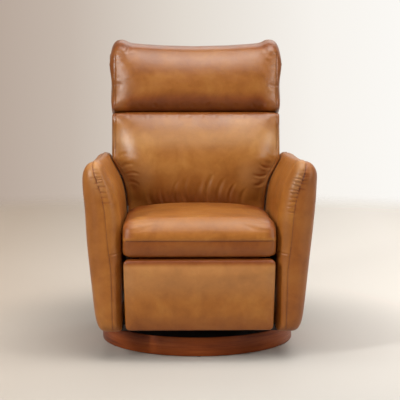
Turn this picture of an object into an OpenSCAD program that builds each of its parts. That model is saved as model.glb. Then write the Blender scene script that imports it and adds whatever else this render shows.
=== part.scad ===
// Swivel recliner on a round wooden plinth. The arms stand like petals round the seat, the
// tall back carries a headrest, the footrest folds out on crossing links, and the seat
// glides forward on swing links while the back leans.
// The chair faces -Y and +Z is up. The origin is on the floor at the swivel axis.
// Left and right are the sitter's own, so left is +X.

/* [Plinth] */
// Outer radius of the wooden hoop
plinth_r = 346; // [310:1:380]
// Height of the hoop's top edge above the floor
plinth_top = 68; // [58:1:80]
// Thickness of the bent hoop
plinth_wall = 22; // [18:1:30]
// Width of the rim left outside the deck
plinth_rim = 8; // [5:1:10]
// Thickness of the black deck
deck_t = 16; // [12:1:20]
// Height of the nylon glides
glide_h = 5; // [3:1:8]
// Radius of a glide
glide_r = 10; // [7:0.5:12]
// Number of glides
glide_count = 6; // [4:1:8]

/* [Swivel] */
// Side of the square swivel plates
swivel_side = 300; // [280:1:340]
// Thickness of the swivel plates
swivel_t = 4; // [3:0.5:5]
// Diameter of a bearing ball
ball_d = 9.6; // [9:0.1:12]
// Radius of the ball track
ball_track_r = 118; // [90:1:122]
// Number of balls
ball_count = 24; // [12:1:30]
// Radius of the spindle
spindle_r = 8; // [6:0.5:12]

/* [Body] */
// Height of the underside of the arms
body_bottom = 97; // [95:1:110]
// Half the space between the arms at the front
seat_half_front = 266; // [264:1:290]
// Half the space between the arms at the rear
seat_half_rear = 256.5; // [256:0.5:262]
// Face of the footrest and the seat's front, ahead of the swivel axis
front_reach = 430; // [422:1:440]
// Rearmost point of the arms, behind the swivel axis
arm_rear = 338; // [325:1:350]

/* [Arms] */
// How far the arms stand back from the footrest's face
arm_setback = 12; // [5:1:25]
// Greatest thickness of an arm at the front
arm_w_front = 137; // [125:1:150]
// Greatest thickness of an arm at the rear
arm_w_rear = 133; // [120:1:145]
// Height of the crest at the front
arm_top_front = 692; // [665:1:710]
// Height of the crest at the rear
arm_top_rear = 640; // [625:1:660]
// How far the crest sags between its ends
arm_sag = 8; // [0:1:14]
// Radius that rounds the arm's front and rear ends
arm_end_r = 52; // [40:1:58]
// Thickness of the plywood panel inside an arm
arm_panel_t = 18; // [12:1:20]

/* [Seat] */
// Height of the seat's crest
seat_top = 490; // [480:1:500]
// Drop of the seat's top surface from the crest to the rear
seat_drop = 22; // [14:1:30]
// Height of the seat cushion's underside over the springs
cushion_bottom = 392; // [391:0.5:395]
// Height of the lip that hangs down over the front rail
seat_lip = 363; // [362:0.5:370]
// Clearance beside the seat cushion
cushion_side_gap = 4; // [3:0.5:6]
// Thickness of the wooden seat rails
rail_t = 25; // [18:1:28]
// Number of springs under the seat
seat_spring_count = 5; // [3:1:5]

/* [Footrest] */
// Height of the footrest's lower edge
footrest_bottom = 108; // [100:1:120]
// Gap between the footrest and the seat cushion
footrest_gap = 6; // [4:0.5:10]
// Gap between the footrest and an arm
footrest_side_gap = 7; // [4:0.5:10]
// Thickness of the padded part
footrest_pad_t = 40; // [34:1:42]
// Thickness of the board
footrest_board_t = 12; // [9:0.5:13]

/* [Back] */
// Lean of the cushions from the vertical, in degrees
back_rake = 15; // [13:0.5:16]
// Front of the back cushion at the height of the seat
back_front = 110; // [104:1:114]
// Height of the headrest at the middle of its top edge
back_top = 1046; // [1030:1:1062]
// Height of the headrest, from the crease under it to the middle of its top edge
headrest_h = 234; // [210:1:262]
// How far the headrest's corners rise above the middle
ear_rise = 20; // [8:1:24]
// Half the width of the back above the arms
back_half = 315; // [312:1:322]
// Thickness of the back cushions
back_cushion_t = 105; // [98:1:108]
// Rear face of the back at its foot
back_rear_low = 336; // [332:1:342]
// Depth of the back near its top, from the cushion's face to the rear
back_top_depth = 177.5; // [176:0.5:186]
// Clearance between the back's sides and the arms
back_side_gap = 5; // [4:0.5:8]

/* [Mechanism] */
// Thickness of the steel links and plates
link_t = 4; // [3:0.5:4]
// Width of a link
link_w = 20; // [16:1:21]
// Free space between neighbouring links
link_gap = 1; // [0.6:0.1:1]
// Radius of a pivot pin
pin_r = 5; // [4:0.5:6]
// Length of the swing links between their pivots
swing_len = 160; // [154:1:162]
// Lean of the swing links at rest, in degrees
swing_lean = 24; // [18:1:26]
// Length of the footrest's drive link to its crossing pivot
drive_len = 180.6; // [176:0.1:184]
// Length of the cross link from the crossing pivot to the footrest
cross_len = 221.4; // [218:0.1:226]

/* [Hidden] */

// Shared allowances
overrun = 1;
touch_gap = 0.3;
pin_gap = 0.08;
free_gap = 3;
leather = "peru";
wood = "saddlebrown";
ply = "burlywood";
steel = "dimgray";
zinc = "silver";

// Swivel stack
deck_recess = 2;
deck_top = plinth_top - deck_recess;
deck_r = plinth_r - plinth_rim;
deck_gap = 0.2;
glide_edge = 1.5;
lower_plate_top = deck_top + swivel_t;
ball_gap = 0.2;
upper_plate_bottom = lower_plate_top + ball_d + 2 * ball_gap;
upper_plate_top = upper_plate_bottom + swivel_t;
plate_corner_r = 12;
plate_edge = 24;
screw_r = 3;
screw_head_r = 6;
screw_head_h = 3;
screw_len = 14;
cage_t = 4;
cage_edge = 8;
cage_bore_gap = 12;
spindle_head_r = 18;
spindle_head_h = 5;
nut_r = 15;
nut_h = 9;
washer_t = 2;
washer_r = 20;

// Chassis tubes and rails
tube_side = 25;
tube_wall = 2;
tube_ahead = 110;
tube_top = upper_plate_top + tube_side;
rail_upright = 36;
rail_end = 40;
shelf_w = 46;
pivot_rise = 41;
lug_r = 18;
arm_bolt_inset = 14;
arm_bolt_len = 30;

// Side stack of the mechanism: layers of flat steel counted inwards from the base rail
base_web_outer = 254.5;
pitch = link_t + link_gap;
function layer_outer(n) = base_web_outer - n * pitch;
function layer_inner(n) = layer_outer(n) - link_t;
BASE = 0;
SWING = 1;
PLATE = 2;
DRIVE = 3;
CROSS = 4;
REAR = 5;
hub_r = 13;

// Pivots of the mechanism, each as [distance ahead of the swivel axis, height]
function ray(angle, length) = [length * cos(angle), length * sin(angle)];
swing_front_ahead = 130;
swing_rear_ahead = -140;
swing_z = tube_top + pivot_rise;
swing_front_low = [swing_front_ahead, swing_z];
swing_rear_low = [swing_rear_ahead, swing_z];
swing_front_high = swing_front_low + ray(90 + swing_lean, swing_len);
swing_rear_high = swing_rear_low + ray(90 + swing_lean, swing_len);
drive_setback = 120;
drive_ahead = front_reach - drive_setback;
drive_rise = 34;
drive_pivot = [drive_ahead, swing_front_high[1] + drive_rise];
drive_angle = -119;
drive_tip = 40;
crossing = drive_pivot + ray(drive_angle, drive_len);
control_low = drive_pivot + ray(drive_angle, drive_len + drive_tip);
cross_angle = 52;
bracket_high = crossing + ray(cross_angle, cross_len);
bracket_low = bracket_high + ray(drive_angle, drive_tip);
tail_len = 41.6;
tail_angle = 202;
cross_tail = crossing + ray(tail_angle, tail_len);
tail_play = 3;
rear_pivot_back = 45;
rear_pivot_drop = 12.7;
rear_pivot = drive_pivot - [rear_pivot_back, rear_pivot_drop];
spacer_r = 9;
drive_tube_share = 0.22;
drive_tube_r = 9;
drive_tube_at = drive_pivot + drive_tube_share * (crossing - drive_pivot);
swing_tube_r = 10;
swing_tube_at = (swing_front_low + swing_front_high) / 2;
back_pivot_behind = 250;
back_pivot_drop = 10;
back_pivot = [-back_pivot_behind, drive_pivot[1] - back_pivot_drop];

// Seat frame
flange_w = 38;
web_rise = 17;
web_top = drive_pivot[1] + web_rise;
web_low = swing_front_high[1] - hub_r;
rail_bottom = web_top + link_t;
spring_wire = 4;
clip_t = 1.5;
clip_w = 30;
clip_d = 14;
rail_top = cushion_bottom - touch_gap - spring_wire - clip_t;
rail_lead = 32;
rail_rear_lead = 80;
rail_front = drive_ahead + rail_lead;
rail_rear = -back_pivot_behind + rail_rear_lead;
seat_spring_waves = 12;
seat_spring_half = 22;
seat_spring_spread_share = 0.82;

// Footrest
footrest_top = seat_lip - footrest_gap;
footrest_half = seat_half_front - footrest_side_gap;
footrest_taper = 7;
footrest_corner_r = 16;
footrest_edge_r = 14;
board_margin = 10;
pad_rear = front_reach - footrest_pad_t;
board_rear = pad_rear - footrest_board_t;
bracket_reach = 30;
bracket_over = 2;
bracket_under = 16;

// Back, leaning by its rake about the line where it meets the seat
seat_rear_z = seat_top - seat_drop;
function lean(depth, up) = [
    -(back_front + depth * cos(back_rake) + up * sin(back_rake)),
    seat_rear_z - depth * sin(back_rake) + up * cos(back_rake),
];
function up_at(z, depth) = (z - seat_rear_z + depth * sin(back_rake)) / cos(back_rake);
function face_behind(z) = back_front + (z - seat_rear_z) * tan(back_rake);
function frame_behind(z) = face_behind(z) + back_cushion_t / cos(back_rake);
back_low_half = seat_half_rear - back_side_gap;
back_foot_z = 292;
back_high_drop = 46;
back_high_z = back_top - back_high_drop;
back_rear_high = face_behind(back_high_z) + back_top_depth;
function rear_behind(z) = back_rear_low
    + (back_rear_high - back_rear_low) * (z - back_foot_z) / (back_high_z - back_foot_z);
panel_t = 26;
stile_w = 30;
stile_d = 42;
stile_outer = layer_inner(DRIVE);
stile_foot = -85;
stile_top_drop = 80;
stile_top = up_at(back_top - stile_top_drop, back_cushion_t);
roof_z = lean(back_cushion_t, stile_top)[1] + touch_gap;
rail_h = 45;
crease_z = back_top - headrest_h;
mid_rail_up = up_at(crease_z, back_cushion_t) - rail_h / 2;
bottom_rail_up = 10;
rail_recess = spring_wire + 2 * touch_gap;
back_rail_d = 30;
back_spring_count = 4;
back_spring_waves = 8;
back_spring_half = 24;
back_spring_grip = 14;
side_foot_rise = 15;
side_straight_share = 0.6;
side_foot_z = rail_bottom + side_foot_rise;
side_inner = layer_outer(DRIVE) + touch_gap;
lumbar_foot_rise = 6;
lumbar_foot_z = cushion_bottom + lumbar_foot_rise;
lumbar_bulge = 14;
headrest_bulge = 8;
crease_gap = 0.6;
valance_t = 26;
valance_gap = 28;

// Arm section as [share of the thickness, share of the height]: up the inside, over the
// crest and down the outside
arm_inner_shares = [
    [0, 0.035], [0, 0.34], [0.005, 0.58], [0.03, 0.7], [0.08, 0.78], [0.165, 0.853],
    [0.345, 0.93], [0.445, 0.972],
];
arm_outer_shares = [
    [0.54, 0.994], [0.65, 1], [0.77, 0.988], [0.88, 0.953], [0.96, 0.9], [1, 0.84],
    [0.985, 0.76], [0.92, 0.6], [0.845, 0.44], [0.77, 0.27], [0.71, 0.13], [0.66, 0.06],
    [0.58, 0.018], [0.46, 0], [0.3, 0], [0.1, 0], [0.02, 0.006],
];
// Middle line of that section, which the rounded ends close in on
arm_spine_shares = [[0.07, 0.34], [0.27, 0.385], [0.6, 0.465], [0.84, 0.575], [0.92, 0.63]];
arm_end_share = 0.3;
arm_front = -front_reach + arm_setback;
arm_body_steps = 8;
arm_end_steps = 4;
arm_panel_inset = 24;
arm_panel_end = 66;
arm_panel_under = 120;

// Side outline of the seat cushion as [share of its depth, share of its height], from the
// rear over the top to the front edge
seat_shares = [
    [0.18, 0.827], [0.4, 0.855], [0.62, 0.925], [0.78, 0.98], [0.87, 1], [0.935, 0.985],
    [0.972, 0.93], [0.992, 0.84], [1, 0.7], [0.994, 0.54], [0.982, 0.47], [0.994, 0.4],
    [1, 0.28], [0.996, 0.12], [0.984, 0.03], [0.96, 0],
];
// Fronts of the back cushions as [share of the bulge, share of the height]
lumbar_shares = [[0, 0.2], [0.55, 0.35], [1, 0.55], [0.9, 0.75], [0.5, 0.9], [0, 0.96], [-1, 1]];
headrest_shares = [[-1.8, 0], [0, 0.06], [0.8, 0.2], [1, 0.4], [0.6, 0.65], [0, 0.8]];
// Roll over the top of the headrest as [share of the roll's depth, share of its height]
roll_shares = [
    [0.03, 0.3], [0.12, 0.62], [0.28, 0.88], [0.45, 1], [0.65, 0.99], [0.83, 0.85],
    [0.95, 0.55], [1, 0.2], [1, 0],
];
// Top corner of the headrest as [share of the ear's width in from the side, share of rise]
ear_w = 56;
ear_drop = 46;
ear_shares = [[0, -1], [0.03, -0.2], [0.12, 0.45], [0.32, 1], [0.58, 1], [0.82, 0.35], [1, 0]];

// Shape helpers
function mix(a, b, t) = a + (b - a) * t;

// A closed solid through rings that all have the same number of points
module loft(rings) {
    n = len(rings[0]);
    m = len(rings);
    sides = [
        for (i = [0 : m - 2]) for (j = [0 : n - 1])
            let (a = i * n + j, b = i * n + (j + 1) % n)
            each [[a, a + n, b + n], [a, b + n, b]]
    ];
    first = [for (j = [0 : n - 1]) j];
    last = [for (j = [n - 1 : -1 : 0]) (m - 1) * n + j];
    polyhedron(points = [for (r = rings) each r], faces = concat(sides, [first, last]));
}

module on_side(left) {
    if (left) children();
    else mirror([1, 0, 0]) children();
}

module both_sides() {
    children();
    mirror([1, 0, 0]) children();
}

// Stands a side view, drawn as [ahead, height], up between two distances from the middle
module side_slab(outer, inner) {
    translate([outer, 0, 0]) rotate([90, 0, -90]) linear_extrude(outer - inner) children();
}

module side_pin(at, outer, inner, r) {
    translate([inner, -at[0], at[1]]) rotate([0, 90, 0]) cylinder(h = outer - inner, r = r, $fn = 48);
}

module bar_2d(a, b, w) {
    d = b - a;
    translate(a) rotate(atan2(d[1], d[0])) translate([0, -w / 2]) square([norm(d), w]);
}

module disc_2d(at, r) {
    translate(at) circle(r = r, $fn = 48);
}

module link_2d(points) {
    for (p = points) disc_2d(p, hub_r);
    for (i = [0 : len(points) - 2]) bar_2d(points[i], points[i + 1], link_w);
}

module bores_2d(points) {
    for (p = points) disc_2d(p, pin_r + pin_gap);
}

// Centres the wave of a sinuous spring on the Y axis and runs it along +Y
function wave(n, step, half, offset) = [
    for (k = [0 : n - 1]) let (s = k % 2 == 0 ? 1 : -1)
        for (a = [-60 : 40 : 60])
            [s * (half - step / 2 + (step / 2 + s * offset) * cos(a)),
             (k + 0.5) * step + (step / 2 + s * offset) * sin(a)],
];

module sinuous_spring(length, waves, half) {
    step = length / waves;
    left = wave(waves, step, half, spring_wire / 2);
    right = wave(waves, step, half, -spring_wire / 2);
    linear_extrude(spring_wire)
        polygon(concat(left, [for (i = [len(right) - 1 : -1 : 0]) right[i]]));
}

module rounded_plate(side, t) {
    linear_extrude(t) {
        square([side, side - 2 * plate_corner_r], center = true);
        square([side - 2 * plate_corner_r, side], center = true);
        for (x = [-1, 1]) for (y = [-1, 1])
            translate([x, y] * (side / 2 - plate_corner_r)) circle(r = plate_corner_r, $fn = 48);
    }
}

// Plinth and swivel
module plinth_hoop() color(wood) rotate_extrude($fn = 180) polygon([
    [plinth_r - plinth_wall, glide_h],
    [plinth_r, glide_h],
    [plinth_r, plinth_top],
    [deck_r, plinth_top],
    [deck_r, deck_top - deck_t],
    [plinth_r - plinth_wall, deck_top - deck_t],
]);

screw_at = swivel_side / 2 - plate_edge;

module at_screws() {
    for (x = [-1, 1]) for (y = [-1, 1]) translate([x * screw_at, y * screw_at, 0]) children();
}

module base_deck() color("black") difference() {
    translate([0, 0, deck_top - deck_t]) cylinder(h = deck_t, r = deck_r - deck_gap, $fn = 180);
    translate([0, 0, deck_top - deck_t - overrun])
        cylinder(h = deck_t + 2 * overrun, r = spindle_r + pin_gap, $fn = 48);
    at_screws() translate([0, 0, lower_plate_top - screw_len - overrun])
        cylinder(h = screw_len + deck_t, r = screw_r + pin_gap, $fn = 24);
}

module floor_glides() color("black")
    for (i = [0 : glide_count - 1]) rotate((i + 0.5) * 360 / glide_count)
        translate([plinth_r - plinth_wall / 2, 0, 0]) {
            cylinder(h = glide_edge, r1 = glide_r - glide_edge, r2 = glide_r, $fn = 48);
            translate([0, 0, glide_edge]) cylinder(h = glide_h - glide_edge, r = glide_r, $fn = 48);
        }

module lower_swivel_plate() color(zinc) difference() {
    translate([0, 0, deck_top]) rounded_plate(swivel_side, swivel_t);
    translate([0, 0, deck_top - overrun])
        cylinder(h = swivel_t + 2 * overrun, r = spindle_r + pin_gap, $fn = 48);
    at_screws() translate([0, 0, deck_top - overrun])
        cylinder(h = swivel_t + 2 * overrun, r = screw_r + pin_gap, $fn = 24);
}

module lower_plate_screws() color(steel) at_screws() {
    translate([0, 0, lower_plate_top - screw_len]) cylinder(h = screw_len, r = screw_r, $fn = 24);
    translate([0, 0, lower_plate_top]) cylinder(h = screw_head_h, r = screw_head_r, $fn = 24);
}

spindle_end = upper_plate_top + touch_gap + washer_t + nut_h;

module swivel_spindle() color(steel) {
    translate([0, 0, deck_top - deck_t - spindle_head_h])
        cylinder(h = spindle_head_h, r = spindle_head_r, $fn = 48);
    translate([0, 0, deck_top - deck_t])
        cylinder(h = spindle_end - deck_top + deck_t, r = spindle_r, $fn = 48);
}

module spindle_nut() color(zinc) difference() {
    union() {
        translate([0, 0, upper_plate_top + touch_gap]) cylinder(h = washer_t, r = washer_r, $fn = 48);
        translate([0, 0, upper_plate_top + touch_gap + washer_t])
            cylinder(h = nut_h, r = nut_r, $fn = 6);
    }
    translate([0, 0, upper_plate_top])
        cylinder(h = spindle_end, r = spindle_r + pin_gap, $fn = 48);
}

ball_z = lower_plate_top + ball_gap + ball_d / 2;

module at_balls() {
    for (i = [0 : ball_count - 1]) rotate(i * 360 / ball_count)
        translate([ball_track_r, 0, ball_z]) children();
}

module bearing_cage() color("dimgray") difference() {
    translate([0, 0, ball_z - cage_t / 2])
        cylinder(h = cage_t, r = ball_track_r + ball_d / 2 + cage_edge, $fn = 120);
    translate([0, 0, ball_z - cage_t])
        cylinder(h = 2 * cage_t, r = spindle_r + cage_bore_gap, $fn = 48);
    at_balls() translate([0, 0, -cage_t])
        cylinder(h = 2 * cage_t, r = ball_d / 2 + touch_gap, $fn = 24);
}

module bearing_balls() color(zinc) at_balls() sphere(d = ball_d, $fn = 24);

module upper_swivel_plate() color(zinc) difference() {
    translate([0, 0, upper_plate_bottom]) rounded_plate(swivel_side, swivel_t);
    translate([0, 0, upper_plate_bottom - overrun])
        cylinder(h = swivel_t + 2 * overrun, r = spindle_r + pin_gap, $fn = 48);
    at_plate_bolts() translate([0, 0, upper_plate_bottom - overrun])
        cylinder(h = swivel_t + 2 * overrun, r = screw_r + pin_gap, $fn = 24);
}

module at_plate_bolts() {
    for (x = [-1, 1]) for (y = [-1, 1]) translate([x * screw_at, y * tube_ahead, 0]) children();
}

module plate_bolts() color(steel) at_plate_bolts() {
    translate([0, 0, upper_plate_bottom - screw_head_h])
        cylinder(h = screw_head_h, r = screw_head_r, $fn = 24);
    translate([0, 0, upper_plate_bottom]) cylinder(h = screw_len, r = screw_r, $fn = 24);
}

// Chassis
tube_half = layer_inner(BASE);

module cross_tube(ahead) color(steel) difference() {
    translate([-tube_half, -ahead - tube_side / 2, upper_plate_top])
        cube([2 * tube_half, tube_side, tube_side]);
    translate([-tube_half - overrun, -ahead - tube_side / 2 + tube_wall, upper_plate_top + tube_wall])
        cube([2 * (tube_half + overrun), tube_side - 2 * tube_wall, tube_side - 2 * tube_wall]);
    at_plate_bolts() translate([0, 0, upper_plate_top - overrun])
        cylinder(h = tube_wall + 2 * overrun, r = screw_r + pin_gap, $fn = 24);
}

module cross_tube_front() cross_tube(tube_ahead);
module cross_tube_rear() cross_tube(-tube_ahead);

rail_low = body_bottom - link_t;
rail_from = swing_rear_ahead - rail_end;
rail_to = swing_front_ahead + rail_end;
arm_bolt_x = seat_half_front + arm_panel_inset - link_gap + (arm_panel_t - link_gap) / 2;

module at_arm_bolts() {
    for (t = [0, 0.5, 1])
        translate([arm_bolt_x, -mix(rail_from + arm_bolt_inset, rail_to - arm_bolt_inset, t), 0])
            children();
}

module base_rail(left) color(steel) on_side(left) difference() {
    union() {
        side_slab(layer_outer(BASE), layer_inner(BASE)) {
            translate([rail_from, rail_low]) square([rail_to - rail_from, rail_upright]);
            for (p = [swing_front_low, swing_rear_low]) {
                disc_2d(p, lug_r);
                bar_2d([p[0], rail_low + rail_upright / 2], p, 2 * lug_r);
            }
        }
        translate([layer_outer(BASE) - link_t, -rail_to, rail_low])
            cube([shelf_w + link_t, rail_to - rail_from, link_t]);
    }
    side_slab(layer_outer(BASE) + overrun, layer_inner(BASE) - overrun)
        bores_2d([swing_front_low, swing_rear_low]);
    at_arm_bolts() translate([0, 0, rail_low - overrun])
        cylinder(h = link_t + 2 * overrun, r = screw_r + pin_gap, $fn = 24);
}

module base_rail_left() base_rail(true);
module base_rail_right() base_rail(false);

module arm_bolts() color(zinc) both_sides() at_arm_bolts() {
    translate([0, 0, rail_low - screw_head_h]) cylinder(h = screw_head_h, r = screw_head_r, $fn = 24);
    translate([0, 0, rail_low]) cylinder(h = arm_bolt_len, r = screw_r, $fn = 24);
}

// Arms
function arm_inner(t) = mix(seat_half_front, seat_half_rear, t);
function arm_w(t) = mix(arm_w_front, arm_w_rear, t);
function arm_top(t) = mix(arm_top_front, arm_top_rear, t) - 4 * arm_sag * t * (1 - t);
function arm_share(y) = (y - arm_front) / (arm_rear - arm_front);
function spine_share(up) = lookup(up, arm_spine_shares);
spine_low_share = arm_spine_shares[0][0];
spine_high_share = arm_spine_shares[len(arm_spine_shares) - 1][0];
arm_section_shares = concat(arm_inner_shares, arm_outer_shares);

function arm_ring(y, fill) = let (t = arm_share(y)) [
    for (s = arm_section_shares)
        let (core = min(max(s[1], spine_low_share), spine_high_share))
        [arm_inner(t) + arm_w(t) * mix(spine_share(core), s[0], fill), y,
         body_bottom + (arm_top(t) - body_bottom) * mix(core, s[1], fill)]
];
function end_fill(k) = mix(arm_end_share, 1, sin(90 * k));
function end_depth(k) = arm_end_r * (1 - cos(90 * k));

arm_rings = concat(
    [for (i = [0 : arm_end_steps]) let (k = i / arm_end_steps)
        arm_ring(arm_front + end_depth(k), end_fill(k))],
    [for (i = [1 : arm_body_steps - 1])
        arm_ring(mix(arm_front + arm_end_r, arm_rear - arm_end_r, i / arm_body_steps), 1)],
    [for (i = [arm_end_steps : -1 : 0]) let (k = i / arm_end_steps)
        arm_ring(arm_rear - end_depth(k), end_fill(k))]
);

panel_outer = seat_half_front + arm_panel_inset - link_gap + arm_panel_t - link_gap;
panel_inner = panel_outer - arm_panel_t;
panel_top_front = arm_top_front - arm_panel_under;
panel_top_rear = arm_top_rear - arm_panel_under;
panel_rear = arm_rear - arm_panel_end;
panel_front = arm_front + arm_panel_end;
panel_foot_rise = 60;

module arm_panel_2d(grow) {
    polygon([
        [-panel_rear - grow, body_bottom + (grow > 0 ? -overrun : 0)],
        [-panel_rear - grow, panel_top_rear + grow],
        [-panel_front + grow - panel_foot_rise, panel_top_front + grow],
        [-panel_front + grow, panel_top_front - panel_foot_rise + grow],
        [-panel_front + grow, body_bottom + (grow > 0 ? -overrun : 0)],
    ]);
}

module arm_panel(left) color(ply) on_side(left) difference() {
    side_slab(panel_outer, panel_inner) arm_panel_2d(0);
    at_arm_bolts() translate([0, 0, body_bottom - overrun])
        cylinder(h = arm_bolt_len, r = screw_r + pin_gap, $fn = 24);
}

module arm_panel_left() arm_panel(true);
module arm_panel_right() arm_panel(false);

module arm(left) color(leather) on_side(left) difference() {
    loft(arm_rings);
    side_slab(panel_outer + touch_gap, panel_inner - touch_gap) arm_panel_2d(touch_gap);
}

module arm_left() arm(true);
module arm_right() arm(false);

valance_rear = arm_rear - arm_end_r + valance_t / 2;
valance_top = back_foot_z - valance_gap;
valance_half = arm_inner(arm_share(valance_rear)) - touch_gap;

module rear_valance() color(leather)
    translate([-valance_half, valance_rear - valance_t, body_bottom])
        cube([2 * valance_half, valance_t, valance_top - body_bottom]);

// Swing links that carry the seat
module swing_pair(low, high) color(steel) both_sides() {
    side_slab(layer_outer(SWING), layer_inner(SWING)) link_2d([low, high]);
    side_pin(low, layer_outer(BASE), layer_outer(SWING) - link_t / 2, pin_r);
    side_pin(high, layer_inner(SWING) + link_t / 2, layer_inner(PLATE), pin_r);
}

module front_swing_links() swing_pair(swing_front_low, swing_front_high);
module rear_swing_links() swing_pair(swing_rear_low, swing_rear_high);

module round_tube(at, half, r) color(steel) translate([-half, -at[0], at[1]]) rotate([0, 90, 0])
    difference() {
        cylinder(h = 2 * half, r = r, $fn = 48);
        translate([0, 0, -overrun]) cylinder(h = 2 * (half + overrun), r = r - tube_wall, $fn = 48);
    }

module swing_torque_tube() round_tube(swing_tube_at, layer_inner(SWING), swing_tube_r);

// Seat frame
module seat_plate(left) color(steel) on_side(left) difference() {
    union() {
        side_slab(layer_outer(PLATE), layer_inner(PLATE)) {
            polygon([
                [back_pivot[0] - lug_r, web_top],
                [back_pivot[0] - lug_r, back_pivot[1]],
                [swing_rear_high[0] - hub_r, web_low],
                [rear_pivot[0], web_low],
                [drive_pivot[0], drive_pivot[1] - hub_r],
                [rail_front, web_top - link_t],
                [rail_front, web_top],
            ]);
            for (p = [back_pivot, swing_rear_high, swing_front_high]) disc_2d(p, lug_r);
            disc_2d(drive_pivot, hub_r);
        }
        translate([layer_outer(PLATE) - flange_w, -rail_front, web_top])
            cube([flange_w, rail_front - rail_rear + clip_d, link_t]);
    }
    side_slab(layer_outer(PLATE) + overrun, layer_inner(PLATE) - overrun)
        bores_2d([back_pivot, swing_rear_high, swing_front_high, drive_pivot, rear_pivot]);
}

module seat_plate_left() seat_plate(true);
module seat_plate_right() seat_plate(false);

rail_half = layer_outer(PLATE);

module seat_rail_across(front) color(wood)
    translate([-rail_half, -front, rail_bottom])
        cube([2 * rail_half, rail_t, rail_top - rail_bottom]);

module seat_rail_front() seat_rail_across(rail_front);
module seat_rail_rear() seat_rail_across(rail_rear + rail_t);

module seat_rail_along(left) color(wood) on_side(left)
    translate([rail_half - rail_t, -(rail_front - rail_t), rail_bottom])
        cube([rail_t, rail_front - rail_rear - 2 * rail_t, rail_top - rail_bottom]);

module seat_rail_left() seat_rail_along(true);
module seat_rail_right() seat_rail_along(false);

spring_from = rail_rear + rail_t / 2;
spring_len = rail_front - rail_t / 2 - spring_from;
spring_spread = seat_spring_spread_share * 2 * (rail_half - rail_t) / seat_spring_count;

module at_seat_springs() {
    for (i = [0 : seat_spring_count - 1])
        translate([(i - (seat_spring_count - 1) / 2) * spring_spread, 0, 0]) children();
}

module seat_spring_clips() color(zinc) at_seat_springs()
    for (u = [spring_from, spring_from + spring_len])
        translate([-clip_w / 2, -u - clip_d / 2, rail_top]) cube([clip_w, clip_d, clip_t]);

module seat_springs() color(steel) at_seat_springs()
    translate([0, -spring_from, rail_top + clip_t]) rotate(180)
        sinuous_spring(spring_len, seat_spring_waves, seat_spring_half);

// Side outline of the cushion, and its plan, which narrows as the arms close in
seat_rear_low = -face_behind(cushion_bottom) + crease_gap;
seat_rear_high = -face_behind(seat_rear_z) + crease_gap;
seat_side = concat(
    [[seat_rear_low, cushion_bottom], [seat_rear_high, mix(seat_lip, seat_top, seat_shares[0][1])]],
    [for (s = seat_shares)
        [mix(seat_rear_low, front_reach, s[0]), mix(seat_lip, seat_top, s[1])]],
    [[rail_front + touch_gap, seat_lip], [rail_front + touch_gap, cushion_bottom]]
);
seat_front_half = arm_inner(0) - cushion_side_gap;
seat_rear_half = arm_inner(arm_share(-seat_rear_low)) - cushion_side_gap;
seat_corner_r = 22;

module seat_cushion() color(leather) intersection() {
    side_slab(seat_half_front, -seat_half_front) polygon(seat_side);
    linear_extrude(seat_top + overrun) {
        polygon([
            [-seat_rear_half, -seat_rear_low],
            [-seat_front_half, -front_reach + seat_corner_r],
            [-seat_front_half + seat_corner_r, -front_reach - overrun],
            [seat_front_half - seat_corner_r, -front_reach - overrun],
            [seat_front_half, -front_reach + seat_corner_r],
            [seat_rear_half, -seat_rear_low],
            [seat_rear_half, -seat_rear_high + overrun],
            [-seat_rear_half, -seat_rear_high + overrun],
        ]);
        for (x = [-1, 1]) translate([x * (seat_front_half - seat_corner_r), -front_reach + seat_corner_r])
            circle(r = seat_corner_r, $fn = 48);
    }
}

// Footrest linkage
module drive_links() color(steel) both_sides() difference() {
    union() {
        side_slab(layer_outer(DRIVE), layer_inner(DRIVE)) link_2d([drive_pivot, control_low]);
        side_slab(layer_outer(DRIVE), layer_inner(DRIVE)) disc_2d(crossing, hub_r);
        side_pin(drive_pivot, layer_outer(PLATE), layer_outer(DRIVE) - link_t / 2, pin_r);
    }
    side_slab(layer_outer(DRIVE) + overrun, layer_inner(DRIVE) - overrun)
        bores_2d([crossing, control_low]);
}

module drive_tube() round_tube(drive_tube_at, layer_inner(DRIVE), drive_tube_r);

module cross_links() color(steel) both_sides() difference() {
    union() {
        side_slab(layer_outer(CROSS), layer_inner(CROSS))
            link_2d([cross_tail, crossing, bracket_high]);
        for (p = [crossing, bracket_high])
            side_pin(p, layer_outer(DRIVE), layer_outer(CROSS) - link_t / 2, pin_r);
    }
    side_slab(layer_outer(CROSS) + overrun, layer_inner(CROSS) - overrun)
        disc_2d(cross_tail, pin_r + tail_play);
}

module control_links() color(steel) both_sides() {
    side_slab(layer_outer(PLATE), layer_inner(PLATE)) link_2d([control_low, bracket_low]);
    for (p = [control_low, bracket_low])
        side_pin(p, layer_inner(PLATE) + link_t / 2, layer_inner(DRIVE), pin_r);
}

module rear_links() color(steel) both_sides() {
    side_slab(layer_outer(REAR), layer_inner(REAR)) link_2d([cross_tail, rear_pivot]);
    side_pin(rear_pivot, layer_outer(PLATE), layer_outer(REAR) - link_t / 2, pin_r);
    side_pin(rear_pivot, layer_inner(PLATE) - touch_gap, layer_outer(REAR) - link_t / 2, spacer_r);
    side_pin(cross_tail, layer_outer(CROSS), layer_outer(REAR) - link_t / 2, pin_r);
}

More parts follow.
